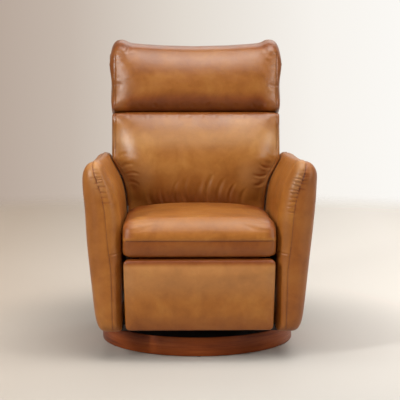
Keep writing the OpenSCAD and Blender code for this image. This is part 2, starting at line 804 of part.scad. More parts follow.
module footrest_bracket(left) color(steel) on_side(left) difference() {
    union() {
        side_slab(layer_outer(DRIVE), layer_inner(DRIVE)) {
            polygon([
                bracket_high + [0, pin_r],
                [board_rear, bracket_high[1] + bracket_over],
                [board_rear, bracket_low[1] - bracket_under],
                bracket_low - [0, pin_r],
            ]);
            bar_2d(bracket_high, bracket_low, link_w);
            for (p = [bracket_high, bracket_low]) disc_2d(p, hub_r);
        }
        translate([layer_outer(DRIVE) - bracket_reach, -board_rear, bracket_low[1] - bracket_under])
            cube([bracket_reach, link_t,
                bracket_high[1] - bracket_low[1] + bracket_over + bracket_under]);
    }
    side_slab(layer_outer(DRIVE) + overrun, layer_inner(DRIVE) - overrun)
        bores_2d([bracket_high, bracket_low]);
}

module footrest_bracket_left() footrest_bracket(true);
module footrest_bracket_right() footrest_bracket(false);

// Outline of the footrest seen from the front, narrowing towards its lower edge
module footrest_2d(margin) {
    low = footrest_bottom + margin;
    high = footrest_top - margin;
    half = footrest_half - margin;
    r = footrest_corner_r;
    hull() for (x = [-1, 1]) {
        disc_2d([x * (half - r), high - r], r);
        disc_2d([x * (half - footrest_taper - r), low + r], r);
    }
}

module footrest_board() color(ply) translate([0, -board_rear, 0]) rotate([90, 0, 0])
    linear_extrude(footrest_board_t) footrest_2d(board_margin);

module footrest_pad() color(leather) intersection() {
    translate([0, -pad_rear, 0]) rotate([90, 0, 0])
        linear_extrude(footrest_pad_t) footrest_2d(0);
    side_slab(footrest_half, -footrest_half) {
        translate([pad_rear - overrun, footrest_bottom])
            square([footrest_pad_t + overrun - footrest_edge_r, footrest_top - footrest_bottom]);
        translate([pad_rear - overrun, footrest_bottom + footrest_edge_r])
            square([footrest_pad_t + overrun, footrest_top - footrest_bottom - 2 * footrest_edge_r]);
        for (z = [footrest_bottom + footrest_edge_r, footrest_top - footrest_edge_r])
            disc_2d([front_reach - footrest_edge_r, z], footrest_edge_r);
    }
}

// Back frame
bracket_grip = 70;

module back_bracket(left) color(steel) on_side(left) {
    side_slab(layer_outer(DRIVE), layer_inner(DRIVE)) {
        disc_2d(back_pivot, lug_r);
        bar_2d(back_pivot, lean(back_cushion_t + stile_d / 2, stile_foot + lug_r), 2 * lug_r);
        bar_2d(lean(back_cushion_t + stile_d / 2, stile_foot + touch_gap),
            lean(back_cushion_t + stile_d / 2, stile_foot + bracket_grip), 2 * lug_r);
    }
    side_pin(back_pivot, layer_outer(PLATE), layer_outer(DRIVE) - link_t / 2, pin_r);
}

module back_bracket_left() back_bracket(true);
module back_bracket_right() back_bracket(false);

module leaning() {
    translate([0, back_front, seat_rear_z]) rotate([-back_rake, 0, 0]) children();
}

module back_stile(left) color(wood) on_side(left) leaning()
    translate([stile_outer - stile_w, back_cushion_t, stile_foot])
        cube([stile_w, stile_d, stile_top - stile_foot]);

module back_stile_left() back_stile(true);
module back_stile_right() back_stile(false);

module back_rail(up) color(wood) leaning()
    translate([-stile_outer + stile_w, back_cushion_t + rail_recess, up])
        cube([2 * (stile_outer - stile_w), back_rail_d, rail_h]);

module back_bottom_rail() back_rail(bottom_rail_up);
module back_mid_rail() back_rail(mid_rail_up);
module back_top_rail() back_rail(stile_top - rail_h);

back_spring_len = mid_rail_up - bottom_rail_up - rail_h + 2 * back_spring_grip;
back_spring_spread = 2 * (stile_outer - stile_w) / back_spring_count;

module back_springs() color(steel) leaning()
    for (i = [0 : back_spring_count - 1])
        translate([(i - (back_spring_count - 1) / 2) * back_spring_spread,
            back_cushion_t + touch_gap + spring_wire, bottom_rail_up + rail_h - back_spring_grip])
            rotate([90, 0, 0]) sinuous_spring(back_spring_len, back_spring_waves, back_spring_half);

// Front outline of the back: it follows the inside of the arms, then stands straight
back_share = arm_share(back_front + back_cushion_t / 2);
back_flank = [
    for (s = arm_inner_shares) if (s[1] > arm_inner_shares[1][1])
        [min(arm_inner(back_share) + arm_w(back_share) * s[0] - back_side_gap, back_half),
         body_bottom + (arm_top(back_share) - body_bottom) * s[1] + back_side_gap * s[0]]
];
flank_low = [[back_low_half, back_foot_z], [back_low_half, back_flank[0][1]]];
flank_rest = [for (i = [1 : len(back_flank) - 1]) back_flank[i]];
flank_top = back_flank[len(back_flank) - 1][1] + back_side_gap;
ears = [
    for (s = ear_shares) [back_half - ear_w * s[0], s[1] < 0 ? back_top + ear_drop * s[1]
        : back_top + ear_rise * s[1]]
];
back_right_line = concat(flank_low, flank_rest, [[back_half, flank_top]], ears);
// The padded sides stand straight beside the arms and spread above them
side_right_line = concat(
    [flank_low[0], [back_low_half, mix(back_flank[0][1], flank_top, side_straight_share)]],
    [[back_half, flank_top]], ears);
function both_halves(line) =
    concat(line, [for (i = [len(line) - 1 : -1 : 0]) [-line[i][0], line[i][1]]]);

module back_outline(low, high, line = back_right_line) {
    intersection() {
        translate([0, back_rear_high + overrun, 0]) rotate([90, 0, 0])
            linear_extrude(back_rear_high - back_front + back_cushion_t) polygon(both_halves(line));
        translate([-back_half, back_front - back_cushion_t, low])
            cube([2 * back_half, back_rear_high, high - low]);
    }
}

module back_panel() color(leather) intersection() {
    side_slab(back_half, -back_half) polygon([
        [-rear_behind(back_foot_z), back_foot_z],
        [-rear_behind(roof_z - touch_gap), roof_z - touch_gap],
        [-rear_behind(roof_z - touch_gap) + panel_t, roof_z - touch_gap],
        [-rear_behind(back_foot_z) + panel_t, back_foot_z],
    ]);
    back_outline(back_foot_z, roof_z - touch_gap);
}

module back_side(left) color(leather) on_side(left) intersection() {
    side_slab(back_half, side_inner) polygon([
        [-frame_behind(side_foot_z) - touch_gap, side_foot_z],
        [-frame_behind(roof_z) - touch_gap, roof_z - touch_gap],
        [-rear_behind(roof_z) + panel_t + touch_gap, roof_z - touch_gap],
        [-rear_behind(side_foot_z) + panel_t + touch_gap, side_foot_z],
    ]);
    back_outline(side_foot_z, roof_z - touch_gap, side_right_line);
}

module back_side_left() back_side(true);
module back_side_right() back_side(false);

crease_up = up_at(crease_z, 0);
lumbar_up = up_at(lumbar_foot_z, 0);
lumbar_side = concat(
    [lean(back_cushion_t - touch_gap, up_at(lumbar_foot_z, back_cushion_t - touch_gap)),
     lean(0, lumbar_up)],
    [for (s = lumbar_shares)
        lean(-lumbar_bulge * s[0], mix(lumbar_up, crease_up - crease_gap / 2, s[1]))],
    [lean(back_cushion_t - touch_gap, crease_up - crease_gap / 2)]
);

module lumbar_cushion() color(leather) intersection() {
    side_slab(back_half, -back_half) polygon(lumbar_side);
    back_outline(lumbar_foot_z, back_top);
}

roll_low = roof_z;
roll_front = face_behind(roll_low);
roll_rear = rear_behind(roll_low);
headrest_side = concat(
    [lean(back_cushion_t - touch_gap, crease_up + crease_gap / 2)],
    [for (s = headrest_shares)
        lean(-headrest_bulge * s[0], mix(crease_up + crease_gap / 2, up_at(roll_low, 0), s[1]))],
    [for (s = roll_shares)
        [-mix(roll_front, roll_rear, s[0]), mix(roll_low, back_top + ear_rise, s[1])]],
    [[-frame_behind(roll_low) + touch_gap, roll_low]]
);

module headrest_cushion() color(leather) intersection() {
    side_slab(back_half, -back_half) polygon(headrest_side);
    back_outline(flank_top, back_top + ear_rise);
}

plinth_hoop();
base_deck();
floor_glides();
lower_swivel_plate();
lower_plate_screws();
swivel_spindle();
spindle_nut();
bearing_cage();
bearing_balls();
upper_swivel_plate();
plate_bolts();
cross_tube_front();
cross_tube_rear();
base_rail_left();
base_rail_right();
arm_bolts();
arm_panel_left();
arm_panel_right();
arm_left();
arm_right();
rear_valance();
front_swing_links();
swing_torque_tube();
rear_swing_links();
seat_plate_left();
seat_plate_right();
seat_rail_front();
seat_rail_rear();
seat_rail_left();
seat_rail_right();
seat_spring_clips();
seat_springs();
seat_cushion();
drive_links();
drive_tube();
cross_links();
control_links();
rear_links();
footrest_bracket_left();
footrest_bracket_right();
footrest_board();
footrest_pad();
back_bracket_left();
back_bracket_right();
back_stile_left();
back_stile_right();
back_top_rail();
back_mid_rail();
back_bottom_rail();
back_springs();
back_panel();
back_side_left();
back_side_right();
lumbar_cushion();
headrest_cushion();
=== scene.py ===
"""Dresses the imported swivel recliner: leather upholstery over the frame, the walnut plinth,
the steel mechanism, and a pale studio. All lengths are in metres, in the CAD's own frame."""

import math

import bmesh
import bpy
import numpy as np
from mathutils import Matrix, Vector
from mathutils.bvhtree import BVHTree
from mathutils.kdtree import KDTree


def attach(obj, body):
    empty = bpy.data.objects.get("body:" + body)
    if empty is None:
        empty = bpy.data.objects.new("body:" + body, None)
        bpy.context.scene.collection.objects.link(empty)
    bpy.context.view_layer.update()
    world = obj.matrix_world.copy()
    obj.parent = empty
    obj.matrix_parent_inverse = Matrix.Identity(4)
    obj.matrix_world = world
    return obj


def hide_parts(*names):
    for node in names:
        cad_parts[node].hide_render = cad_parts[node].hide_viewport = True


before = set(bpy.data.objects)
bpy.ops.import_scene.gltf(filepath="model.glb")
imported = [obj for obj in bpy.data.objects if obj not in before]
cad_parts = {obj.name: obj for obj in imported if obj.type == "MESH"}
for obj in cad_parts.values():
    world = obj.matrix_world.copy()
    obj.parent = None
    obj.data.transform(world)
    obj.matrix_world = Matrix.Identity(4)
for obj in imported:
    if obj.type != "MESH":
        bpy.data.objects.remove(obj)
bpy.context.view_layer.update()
rng = np.random.default_rng(11)
scene = bpy.context.scene

# ------------ sizes, as in the CAD
PLINTH_R, PLINTH_TOP, PLINTH_WALL, PLINTH_RIM, GLIDE_H = 0.346, 0.068, 0.022, 0.008, 0.005
DECK_TOP, DECK_T = 0.066, 0.016
ARM_FRONT, ARM_REAR, ARM_END_R = -0.418, 0.338, 0.052
ARM_LOW = 0.097
FRONT = -0.430
SEAT_Z, BACK_Y, RAKE = 0.468, 0.110, math.radians(15)
SEAT_LIP, SEAT_TOP, CUSHION_LOW = 0.363, 0.490, 0.392
CREASE_Z, BACK_TOP, CUSHION_T = 0.812, 1.046, 0.105
BACK_FOOT, ROOF_Z, PANEL_T = 0.292, 0.9663, 0.026
REAR_LOW_Y, REAR_HIGH_Y = 0.336, 0.430
FOOT_LOW, FOOT_HIGH, FOOT_HALF, FOOT_TAPER = 0.108, 0.357, 0.261, 0.007


def arm_share(y):
    return (y - ARM_FRONT) / (ARM_REAR - ARM_FRONT)


def mix(a, b, t):
    return a + (b - a) * t


def arm_inner(y):
    return mix(0.266, 0.2565, arm_share(y))


def arm_width(y):
    return mix(0.137, 0.133, arm_share(y))


def arm_top(y):
    t = arm_share(y)
    return mix(0.692, 0.640, t) - 4 * 0.008 * t * (1 - t)


def lean(depth, up):
    """Side-view point (y, z) of the back, from its depth behind the face and height up it."""
    return np.stack([BACK_Y + depth * math.cos(RAKE) + up * math.sin(RAKE),
                     SEAT_Z - depth * math.sin(RAKE) + up * math.cos(RAKE)], -1)


def up_at(z, depth):
    return (z - SEAT_Z + depth * math.sin(RAKE)) / math.cos(RAKE)


def face_y(z):
    return BACK_Y + (z - SEAT_Z) * math.tan(RAKE)


def frame_y(z):
    return face_y(z) + CUSHION_T / math.cos(RAKE)


def rear_y(z):
    return mix(REAR_LOW_Y, REAR_HIGH_Y, (z - BACK_FOOT) / (1.0 - BACK_FOOT))


# Height, and half width of the back between and above the arms
FLANK = np.array([[0.292, 0.2515], [0.4157, 0.2544], [0.4817, 0.2577], [0.5259, 0.2644],
                  [0.5665, 0.2758], [0.6097, 0.2999], [0.6382, 0.3150], [1.10, 0.3150]])


def flank(z):
    return np.interp(z, FLANK[:, 0], FLANK[:, 1])


# ------------ small helpers
def unit(t):
    return np.clip(t, 0, 1)


def smooth(t):
    t = unit(t)
    return t * t * (3 - 2 * t)


def bell(d, w):
    return np.exp(-((d / w) ** 2))


def chaikin(p, times):
    p = np.asarray(p, float)
    for _ in range(times):
        q = np.empty((2 * (len(p) - 1), p.shape[1]))
        q[0::2] = 0.75 * p[:-1] + 0.25 * p[1:]
        q[1::2] = 0.25 * p[:-1] + 0.75 * p[1:]
        p = np.concatenate([p[:1], q, p[-1:]])
    return p


def resample(p, n):
    p = np.asarray(p, float)
    s = np.concatenate([[0], np.cumsum(np.linalg.norm(np.diff(p, axis=0), axis=1))])
    t = np.linspace(0, s[-1], n)
    return np.stack([np.interp(t, s, p[:, k]) for k in range(p.shape[1])], -1)


def rail(points, n, times=3):
    return resample(chaikin(points, times), n)


def new_mesh(name, verts, faces, merge=2e-5):
    mesh = bpy.data.meshes.new(name)
    mesh.from_pydata([tuple(v) for v in verts], [], [tuple(int(i) for i in f) for f in faces])
    bm = bmesh.new()
    bm.from_mesh(mesh)
    if merge:
        bmesh.ops.remove_doubles(bm, verts=bm.verts, dist=merge)
    bmesh.ops.recalc_face_normals(bm, faces=bm.faces)
    bm.to_mesh(mesh)
    bm.free()
    mesh.polygons.foreach_set("use_smooth", [True] * len(mesh.polygons))
    obj = bpy.data.objects.new(name, mesh)
    scene.collection.objects.link(obj)
    return obj


def ring_faces(m, n):
    i, j = np.meshgrid(np.arange(m - 1), np.arange(n), indexing="ij")
    a = i * n + j
    b = i * n + (j + 1) % n
    return np.stack([a, b, b + n, a + n], -1).reshape(-1, 4)


def from_rings(name, rings):
    rings = np.asarray(rings, float)
    m, n = rings.shape[:2]
    return new_mesh(name, rings.reshape(-1, 3), ring_faces(m, n))


def vectors(source, key):
    out = np.empty(len(source) * 3, np.float32)
    source.foreach_get(key, out)
    return out.reshape(-1, 3).astype(float)


def coords(obj):
    return vectors(obj.data.vertices, "co")


def set_coords(obj, co):
    obj.data.vertices.foreach_set("co", np.asarray(co, np.float32).ravel())
    obj.data.update()


def normals(obj):
    return vectors(obj.data.vertex_normals, "vector")


def push(obj, amount):
    set_coords(obj, coords(obj) + normals(obj) * np.asarray(amount)[:, None])


def tone(obj, values, name="tone"):
    """Sets a point attribute that the leather reads: tone darkens below 1, as painted shade and as
    darker seams; the second attribute lightens above 0, as a painted highlight and sheen, partly
    pale stretched leather. values is one number or one for each point."""
    a = obj.data.attributes.get(name) or obj.data.attributes.new(name, "FLOAT", "POINT")
    a.data.foreach_set("value", np.full(len(obj.data.vertices), unit(values), np.float32))


def pillow(name, fore, aft, x0, x1, r, across, dome=(0.0, 0.0), cap=8, edge=10, r1=None,
           rx=None, behind=1.0, spine=None, ends=(1.0, 1.0)):
    """A closed padded form. Two rails in side view, paired point by point, are spread between
    x0 and x1 (each a function of y and z). Its edges are rounded by r (r1 at x1) in side view
    over the width rx, by the share behind of that along the aft rail, and by the shares ends of
    it where the rails start and finish. The sides bulge by dome and close onto the spine, or onto
    the middle between the rails."""
    n = len(fore)
    ring = np.concatenate([fore, aft[::-1]])
    keep = np.clip(np.arange(n), int(n * 0.12), n - 1 - int(n * 0.12))
    mid = ((fore + aft) / 2)[keep]
    core = np.concatenate([mid, mid[::-1]])
    if spine is not None:
        fine = resample(chaikin(spine, 2), 400)
        mid = fine[np.argmin(((fore[:, None] - fine[None]) ** 2).sum(-1), axis=1)]
        core = np.concatenate([mid, mid[::-1]])
    vec = core - ring
    dist = np.linalg.norm(vec, axis=1)
    inward = vec / np.maximum(dist, 1e-9)[:, None]
    deepest = dist.max()
    left, right = x0(ring[:, 0], ring[:, 1]), x1(ring[:, 0], ring[:, 1])
    left_end, right_end = x0(core[:, 0], core[:, 1]), x1(core[:, 0], core[:, 1])
    r1 = r if r1 is None else r1
    w0, w1 = (r, r1) if rx is None else (rx, rx)
    turn = np.concatenate([np.zeros(n), np.ones(n)])
    keen = mix(1.0, behind, smooth(np.convolve(np.pad(turn, 12, mode="edge"), np.ones(25) / 25, "valid")))
    along = np.linspace(0, 1, n)
    finish = mix(ends[0], 1, smooth(along / 0.16)) * mix(ends[1], 1, smooth((1 - along) / 0.16))
    keen *= np.concatenate([finish, finish[::-1]])

    def place(inset, x, k=0.0):
        d = np.minimum(mix(inset * keen, deepest, k), dist)
        p = ring + inward * d[:, None]
        return np.stack([x, p[:, 0], p[:, 1]], -1)

    rings = []
    for k in np.linspace(1, 0, cap, endpoint=False):
        rings.append(place(r, mix(left, left_end, k) - dome[0] * smooth(k * 1.2), k))
    for a in np.linspace(0, math.pi / 2, edge, endpoint=False):
        rings.append(place(r * (1 - math.sin(a)), left + w0 * (1 - math.cos(a))))
    for t in np.linspace(0, 1, across):
        rings.append(place(0, mix(left + w0, right - w1, t)))
    for a in np.linspace(math.pi / 2, 0, edge, endpoint=False)[1:]:
        rings.append(place(r1 * (1 - math.sin(a)), right - w1 * (1 - math.cos(a))))
    for k in np.linspace(0, 1, cap):
        rings.append(place(r1, mix(right, right_end, k) + dome[1] * smooth(k * 1.2), k))
    return from_rings(name, rings)


def both(half):
    """The two sides of a form that is the same to the left and right."""
    return lambda y, z: -half(y, z), half


def bvh(obj):
    mesh = obj.data
    return BVHTree.FromPolygons([v.co for v in mesh.vertices], [tuple(p.vertices) for p in mesh.polygons])


def cast(tree, origins, direction):
    """Where rays from the origins meet the surface, in order."""
    hits = [tree.ray_cast(Vector(o), Vector(direction))[0] for o in origins]
    return np.array([tuple(h) for h in hits if h is not None])


def seam_field(co, line, reach=0.06):
    """For each point: distance to the line, arc length along it and the nearest point."""
    fine = resample(line, max(8, int(np.linalg.norm(np.diff(line, axis=0), axis=1).sum() / 0.0015)))
    tree = KDTree(len(fine))
    for i, p in enumerate(fine):
        tree.insert(p, i)
    tree.balance()
    step = np.linalg.norm(np.diff(fine, axis=0), axis=1)
    arc = np.concatenate([[0], np.cumsum(step)])
    d = np.full(len(co), 9.0)
    s = np.zeros(len(co))
    near = np.zeros((len(co), 3))
    lo, hi = fine.min(0) - reach, fine.max(0) + reach
    for i in np.nonzero(((co > lo) & (co < hi)).all(1))[0]:
        _, k, dd = tree.find(co[i])
        d[i], s[i], near[i] = dd, arc[k], fine[k]
    return d, s, near


def groove(d, depth, w):
    """A pulled-in seam with a soft lip at each side."""
    return -depth * bell(d, w) + 0.45 * depth * bell(np.abs(d) - 2.6 * w, 1.7 * w)


def strokes(co, no, marks):
    """Soft folds drawn on the front: each mark is (start, end, width, depth), in x and z."""
    out = np.zeros(len(co))
    p = co[:, (0, 2)]
    look = unit(-1.6 * no[:, 1])
    for a, b, w, depth in marks:
        a, b = np.array(a, float), np.array(b, float)
        v = b - a
        length = np.linalg.norm(v)
        v /= length
        rel = p - a
        t = rel @ v / length
        bow = rel @ np.array([-v[1], v[0]]) - 0.12 * length * np.sin(np.pi * unit(t))
        fade = np.where((t > 0) & (t < 1), np.sin(np.pi * unit(t)) ** 0.8, 0)
        lips = 0.55 * bell(bow - 1.9 * w, 1.1 * w) + 0.4 * bell(bow + 2.0 * w, 1.2 * w)
        out += look * fade * depth * (lips - bell(bow, w))
    return out


def applied(obj, modifier):
    """Applies the object's only modifier to its mesh."""
    bpy.context.view_layer.update()
    evaluated = obj.evaluated_get(bpy.context.evaluated_depsgraph_get())
    mesh = bpy.data.meshes.new_from_object(evaluated)
    obj.modifiers.remove(modifier)
    old, name = obj.data, obj.name
    obj.data = mesh
    bpy.data.meshes.remove(old)
    mesh.name = name
    mesh.polygons.foreach_set("use_smooth", [True] * len(mesh.polygons))


PRESSURE, VOXEL, FRAMES = 9.0, 0.006, 12
STIFFNESS = {"tension_stiffness": 15, "compression_stiffness": 15, "shear_stiffness": 5,
             "bending_stiffness": 0.5, "mass": 0.3, "quality": 3}


def swell(obj, held, cap, slack=None):
    """Swells a pad as sewn cloth under pressure. held(co, no) gives how firmly each point is
    held, from 0 to 1, and cap is the furthest that a point may move. slack(co) gives how much
    too large the cloth is cut there, which wrinkles it."""
    remesh = obj.modifiers.new("Even", "REMESH")
    remesh.mode = "VOXEL"
    remesh.voxel_size = VOXEL
    remesh.adaptivity = 0
    applied(obj, remesh)
    before = coords(obj)
    firm = held(before, normals(obj))

    def group(name, weights, least):
        made = obj.vertex_groups.new(name=name)
        for i in np.nonzero(weights > least)[0]:
            made.add([int(i)], float(weights[i]), "REPLACE")

    group("held", firm, 0.02)
    cloth = obj.modifiers.new("Cloth", "CLOTH")
    c = cloth.settings
    c.vertex_group_mass = "held"
    c.use_pressure = True
    c.uniform_pressure_force = PRESSURE
    if slack is not None:
        extra = slack(before)
        group("loose", extra / extra.max(), 1e-5)
        c.vertex_group_shrink = "loose"
        c.shrink_min, c.shrink_max = 0, -float(extra.max())
    for key, value in STIFFNESS.items():
        setattr(c, key, value)
    c.effector_weights.gravity = 0
    cloth.collision_settings.use_collision = False
    cloth.point_cache.frame_start, cloth.point_cache.frame_end = 1, FRAMES
    for f in range(1, FRAMES + 1):
        scene.frame_set(f)
    evaluated = obj.evaluated_get(bpy.context.evaluated_depsgraph_get())
    move = vectors(evaluated.data.vertices, "co") - before
    obj.modifiers.remove(cloth)
    obj.vertex_groups.clear()
    scene.frame_set(1)
    far = np.linalg.norm(move, axis=1)
    move *= (np.minimum(far, cap) / np.maximum(far, 1e-9))[:, None]
    set_coords(obj, before + move)
    fine = obj.modifiers.new("Fine", "SUBSURF")
    fine.levels = fine.render_levels = 1
    applied(obj, fine)


def tube(name, points, radius):
    """A thin solid thread along points, as one mesh."""
    sides = 6
    p = np.asarray(points, float)
    t = np.gradient(p, axis=0)
    t /= np.maximum(np.linalg.norm(t, axis=1), 1e-9)[:, None]
    ref = np.array([0.31, 0.52, 0.79])
    u = np.cross(t, ref)
    u /= np.linalg.norm(u, axis=1)[:, None]
    v = np.cross(t, u)
    a = np.arange(sides) * 2 * math.pi / sides
    across, up = np.cos(a)[None, :, None], np.sin(a)[None, :, None]
    rings = p[:, None] + radius * (across * u[:, None] + up * v[:, None])
    m = len(p)
    verts = np.concatenate([rings.reshape(-1, 3), p[:1], p[-1:]])
    faces = [tuple(f) for f in ring_faces(m, sides)]
    for j in range(sides):
        faces.append((m * sides, (j + 1) % sides, j))
        faces.append((m * sides + 1, (m - 1) * sides + j, (m - 1) * sides + (j + 1) % sides))
    return new_mesh(name, verts, faces, merge=0)


# ------------ materials
def srgb(r, g, b):
    def lin(c):
        c /= 255
        return c / 12.92 if c <= 0.04045 else ((c + 0.055) / 1.055) ** 2.4

    return (lin(r), lin(g), lin(b), 1)


class Nodes:
    """The node tree of a material or a world, with short ways to add to it. An input is given
    as a value or as (node, socket)."""

    def __init__(self, owner):
        owner.use_nodes = True
        self.owner, self.tree = owner, owner.node_tree
        self.tree.nodes.clear()
        self.where = self.add("ShaderNodeTexCoord")

    def add(self, kind, **values):
        node = self.tree.nodes.new(kind)
        self.put(node, **values)
        return node

    def put(self, node, **values):
        for k, v in values.items():
            if hasattr(node, k):
                setattr(node, k, v)
            else:
                self.feed(node, k.replace("_", " "), v)

    def feed(self, node, into, what):
        if isinstance(what, tuple) and isinstance(what[0], bpy.types.Node):
            self.tree.links.new(what[0].outputs[what[1]], node.inputs[into])
        else:
            node.inputs[into].default_value = what

    def noise(self, scale, detail, rough=0.55, distortion=0.0, vector=None, stretch=None):
        vector = vector or (self.where, "Object")
        if stretch:
            vector = (self.add("ShaderNodeMapping", Scale=stretch, Vector=vector), "Vector")
        return self.add("ShaderNodeTexNoise", Scale=scale, Detail=detail, Roughness=rough,
                        Distortion=distortion, Vector=vector)

    def ramp(self, source, socket, stops):
        node = self.add("ShaderNodeValToRGB", Fac=(source, socket))
        e = node.color_ramp.elements
        while len(e) < len(stops):
            e.new(0.5)
        for k, (at, colour) in enumerate(stops):
            e[k].position = at
            e[k].color = colour if len(colour) == 4 else (*colour, 1)
        return node

    def blend(self, kind, a, b, fac):
        node = self.add("ShaderNodeMix", data_type="RGBA", blend_type=kind)
        for into, what in ((0, fac), (6, a), (7, b)):
            self.feed(node, into, what)
        return node

    def multiply(self, a, b, fac):
        """Darkens the colour of node a by that of node b."""
        return self.blend("MULTIPLY", (a, 2 if a.type == "MIX" else 0), (b, "Color"), fac)

    def math(self, op, a, b):
        node = self.add("ShaderNodeMath", operation=op)
        self.feed(node, 0, a)
        self.feed(node, 1, b)
        return node

    def span(self, source, socket, low, high, kind="SMOOTHSTEP"):
        """Maps low to high onto 0 to 1."""
        return self.add("ShaderNodeMapRange", Value=(source, socket), From_Min=low, From_Max=high,
                        interpolation_type=kind)

    def mirrored(self, path):
        """1 for rays that metal or glass sends on."""
        return self.math("MAXIMUM", (path, "Is Glossy Ray"), (path, "Is Transmission Ray")), 0

    def bump(self, source, socket, distance, strength):
        height = (source, socket)
        return self.add("ShaderNodeBump", Strength=strength, Distance=distance, Height=height)

    def gloss(self, source, dark, light):
        """Sets the roughness at the dark and light parts of a noise."""
        node = self.ramp(source, "Fac", [(0.3, (dark,) * 3), (0.7, (light,) * 3)])
        self.put(self.shader, Roughness=(node, "Color"))


def surface(name):
    """A new material with one Principled shader."""
    m = Nodes(bpy.data.materials.new(name))
    m.shader = m.add("ShaderNodeBsdfPrincipled")
    m.out = m.add("ShaderNodeOutputMaterial", Surface=(m.shader, "BSDF"))
    return m


def leather(name, base=(165, 106, 42), deep=(149, 90, 29), light=(178, 122, 56), rough=(0.28, 0.38),
            shine=0.55):
    m = surface(name)
    cloud = m.noise(9, 6, 0.6, 0.4)
    body = m.ramp(cloud, "Fac", [(0.32, srgb(*deep)), (0.52, srgb(*base)), (0.70, srgb(*light))])
    blot = m.noise(30, 4, 0.55, 0.3)
    shade = m.ramp(blot, "Fac", [(0.30, (0.80, 0.76, 0.72)), (0.56, (1, 1, 1)), (0.75, (1, 1, 1))])
    colour = m.multiply(body, shade, 0.62)
    fine = m.ramp(m.noise(420, 3, 0.6), "Fac", [(0.35, (0.9, 0.88, 0.86)), (0.6, (1, 1, 1))])
    colour = m.multiply(colour, fine, 0.55)
    # A pale tan mixed in where the sheen attribute is set: a painted highlight and sheen, partly pale
    # stretched leather.
    worn = m.add("ShaderNodeAttribute", attribute_name="worn")
    colour = m.blend("MIX", (colour, 2), srgb(203, 160, 115), (worn, "Fac"))
    # The tone attribute darkens towards deep brown: painted shade in creases, bottoms and corners, and darker
    # seams.
    mark = m.add("ShaderNodeAttribute", attribute_name="tone")
    dark = m.ramp(mark, "Fac", [(0.0, srgb(60, 24, 8)), (0.5, srgb(204, 168, 140)), (1.0, (1, 1, 1))])
    colour = m.multiply(colour, dark, 1.0)
    m.gloss(blot, *rough)
    cells = m.add("ShaderNodeTexVoronoi", feature="DISTANCE_TO_EDGE", Scale=430.0,
                  Vector=(m.where, "Object"))
    grain = m.ramp(cells, "Distance", [(0.0, (0, 0, 0)), (0.22, (1, 1, 1))])
    bumps = m.bump(grain, "Color", 0.00016, 0.4)
    m.put(bumps, Normal=(m.bump(m.noise(60, 5, 0.6, 0.8), "Fac", 0.0010, 0.22), "Normal"))
    m.put(m.shader, Base_Color=(colour, 2), Normal=(bumps, "Normal"), IOR=1.55, Specular_IOR_Level=shine)
    return m.owner


def walnut(name, dark=(112, 46, 12), mid=(148, 70, 26), light=(170, 90, 40), round_hoop=True, rough=0.34):
    m = surface(name)
    vector = (m.where, "Object")
    if round_hoop:
        split = m.add("ShaderNodeSeparateXYZ", Vector=vector)
        back = m.math("MULTIPLY", (split, "Y"), -1.0)
        angle = m.math("ARCTAN2", (split, "X"), (back, 0))
        arc = m.math("MULTIPLY", (angle, 0), PLINTH_R)
        squares = [(m.math("MULTIPLY", (split, axis), (split, axis)), 0) for axis in "XY"]
        out = m.math("POWER", (m.math("ADD", *squares), 0), 0.5)
        vector = (m.add("ShaderNodeCombineXYZ", X=(arc, 0), Y=(out, 0), Z=(split, "Z")), "Vector")
    broad = m.noise(4, 4, 0.55, 0.3, vector, (1.0, 8, 10))
    line = m.noise(14, 7, 0.66, 0.2, vector, (0.8, 16, 26))
    pore = m.noise(60, 3, 0.6, 0.0, vector, (0.8, 14, 22))
    tint = m.ramp(broad, "Fac", [(0.3, srgb(*dark)), (0.52, srgb(*mid)), (0.75, srgb(*light))])
    streak = m.ramp(line, "Fac", [(0.34, (0.70, 0.62, 0.56)), (0.56, (1, 1, 1)), (0.8, (1, 1, 1))])
    dots = m.ramp(pore, "Fac", [(0.36, (0.55, 0.5, 0.46)), (0.46, (1, 1, 1))])
    colour = m.multiply(m.multiply(tint, streak, 0.6), dots, 0.35)
    m.gloss(line, rough + 0.1, rough - 0.05)
    m.put(m.shader, Base_Color=(colour, 2), Normal=(m.bump(pore, "Fac", 0.0002, 0.5), "Normal"),
          IOR=1.45, Specular_IOR_Level=0.25)
    return m.owner


def metal(name, colour, rough, metallic=1.0, scale=120, bump=0.00008):
    m = surface(name)
    n = m.noise(scale, 5, 0.6)
    edge = tuple(min(1, c * 1.35) for c in srgb(*colour)[:3])
    tint = m.ramp(n, "Fac", [(0.3, srgb(*colour)), (0.75, edge)])
    m.gloss(n, rough + 0.12, rough)
    pits = m.bump(m.noise(scale * 6, 3), "Fac", bump, 0.6)
    m.put(m.shader, Base_Color=(tint, "Color"), Normal=(pits, "Normal"), Metallic=metallic)
    return m.owner


def ply(name):
    m = surface(name)
    layers = m.noise(14, 4, 0.6, 0.2, None, (30, 3, 3))
    tint = m.ramp(layers, "Fac", [(0.35, srgb(150, 112, 72)), (0.5, srgb(196, 160, 112)),
                                  (0.66, srgb(170, 128, 84))])
    fine = m.noise(160, 4, 0.6, 0, None, (1, 6, 1))
    colour = m.multiply(tint, m.ramp(fine, "Fac", [(0.3, (0.8, 0.78, 0.74)), (0.6, (1, 1, 1))]), 0.6)
    m.put(m.shader, Base_Color=(colour, 2), Normal=(m.bump(fine, "Fac", 0.0003, 0.5), "Normal"),
          Roughness=0.72)
    return m.owner


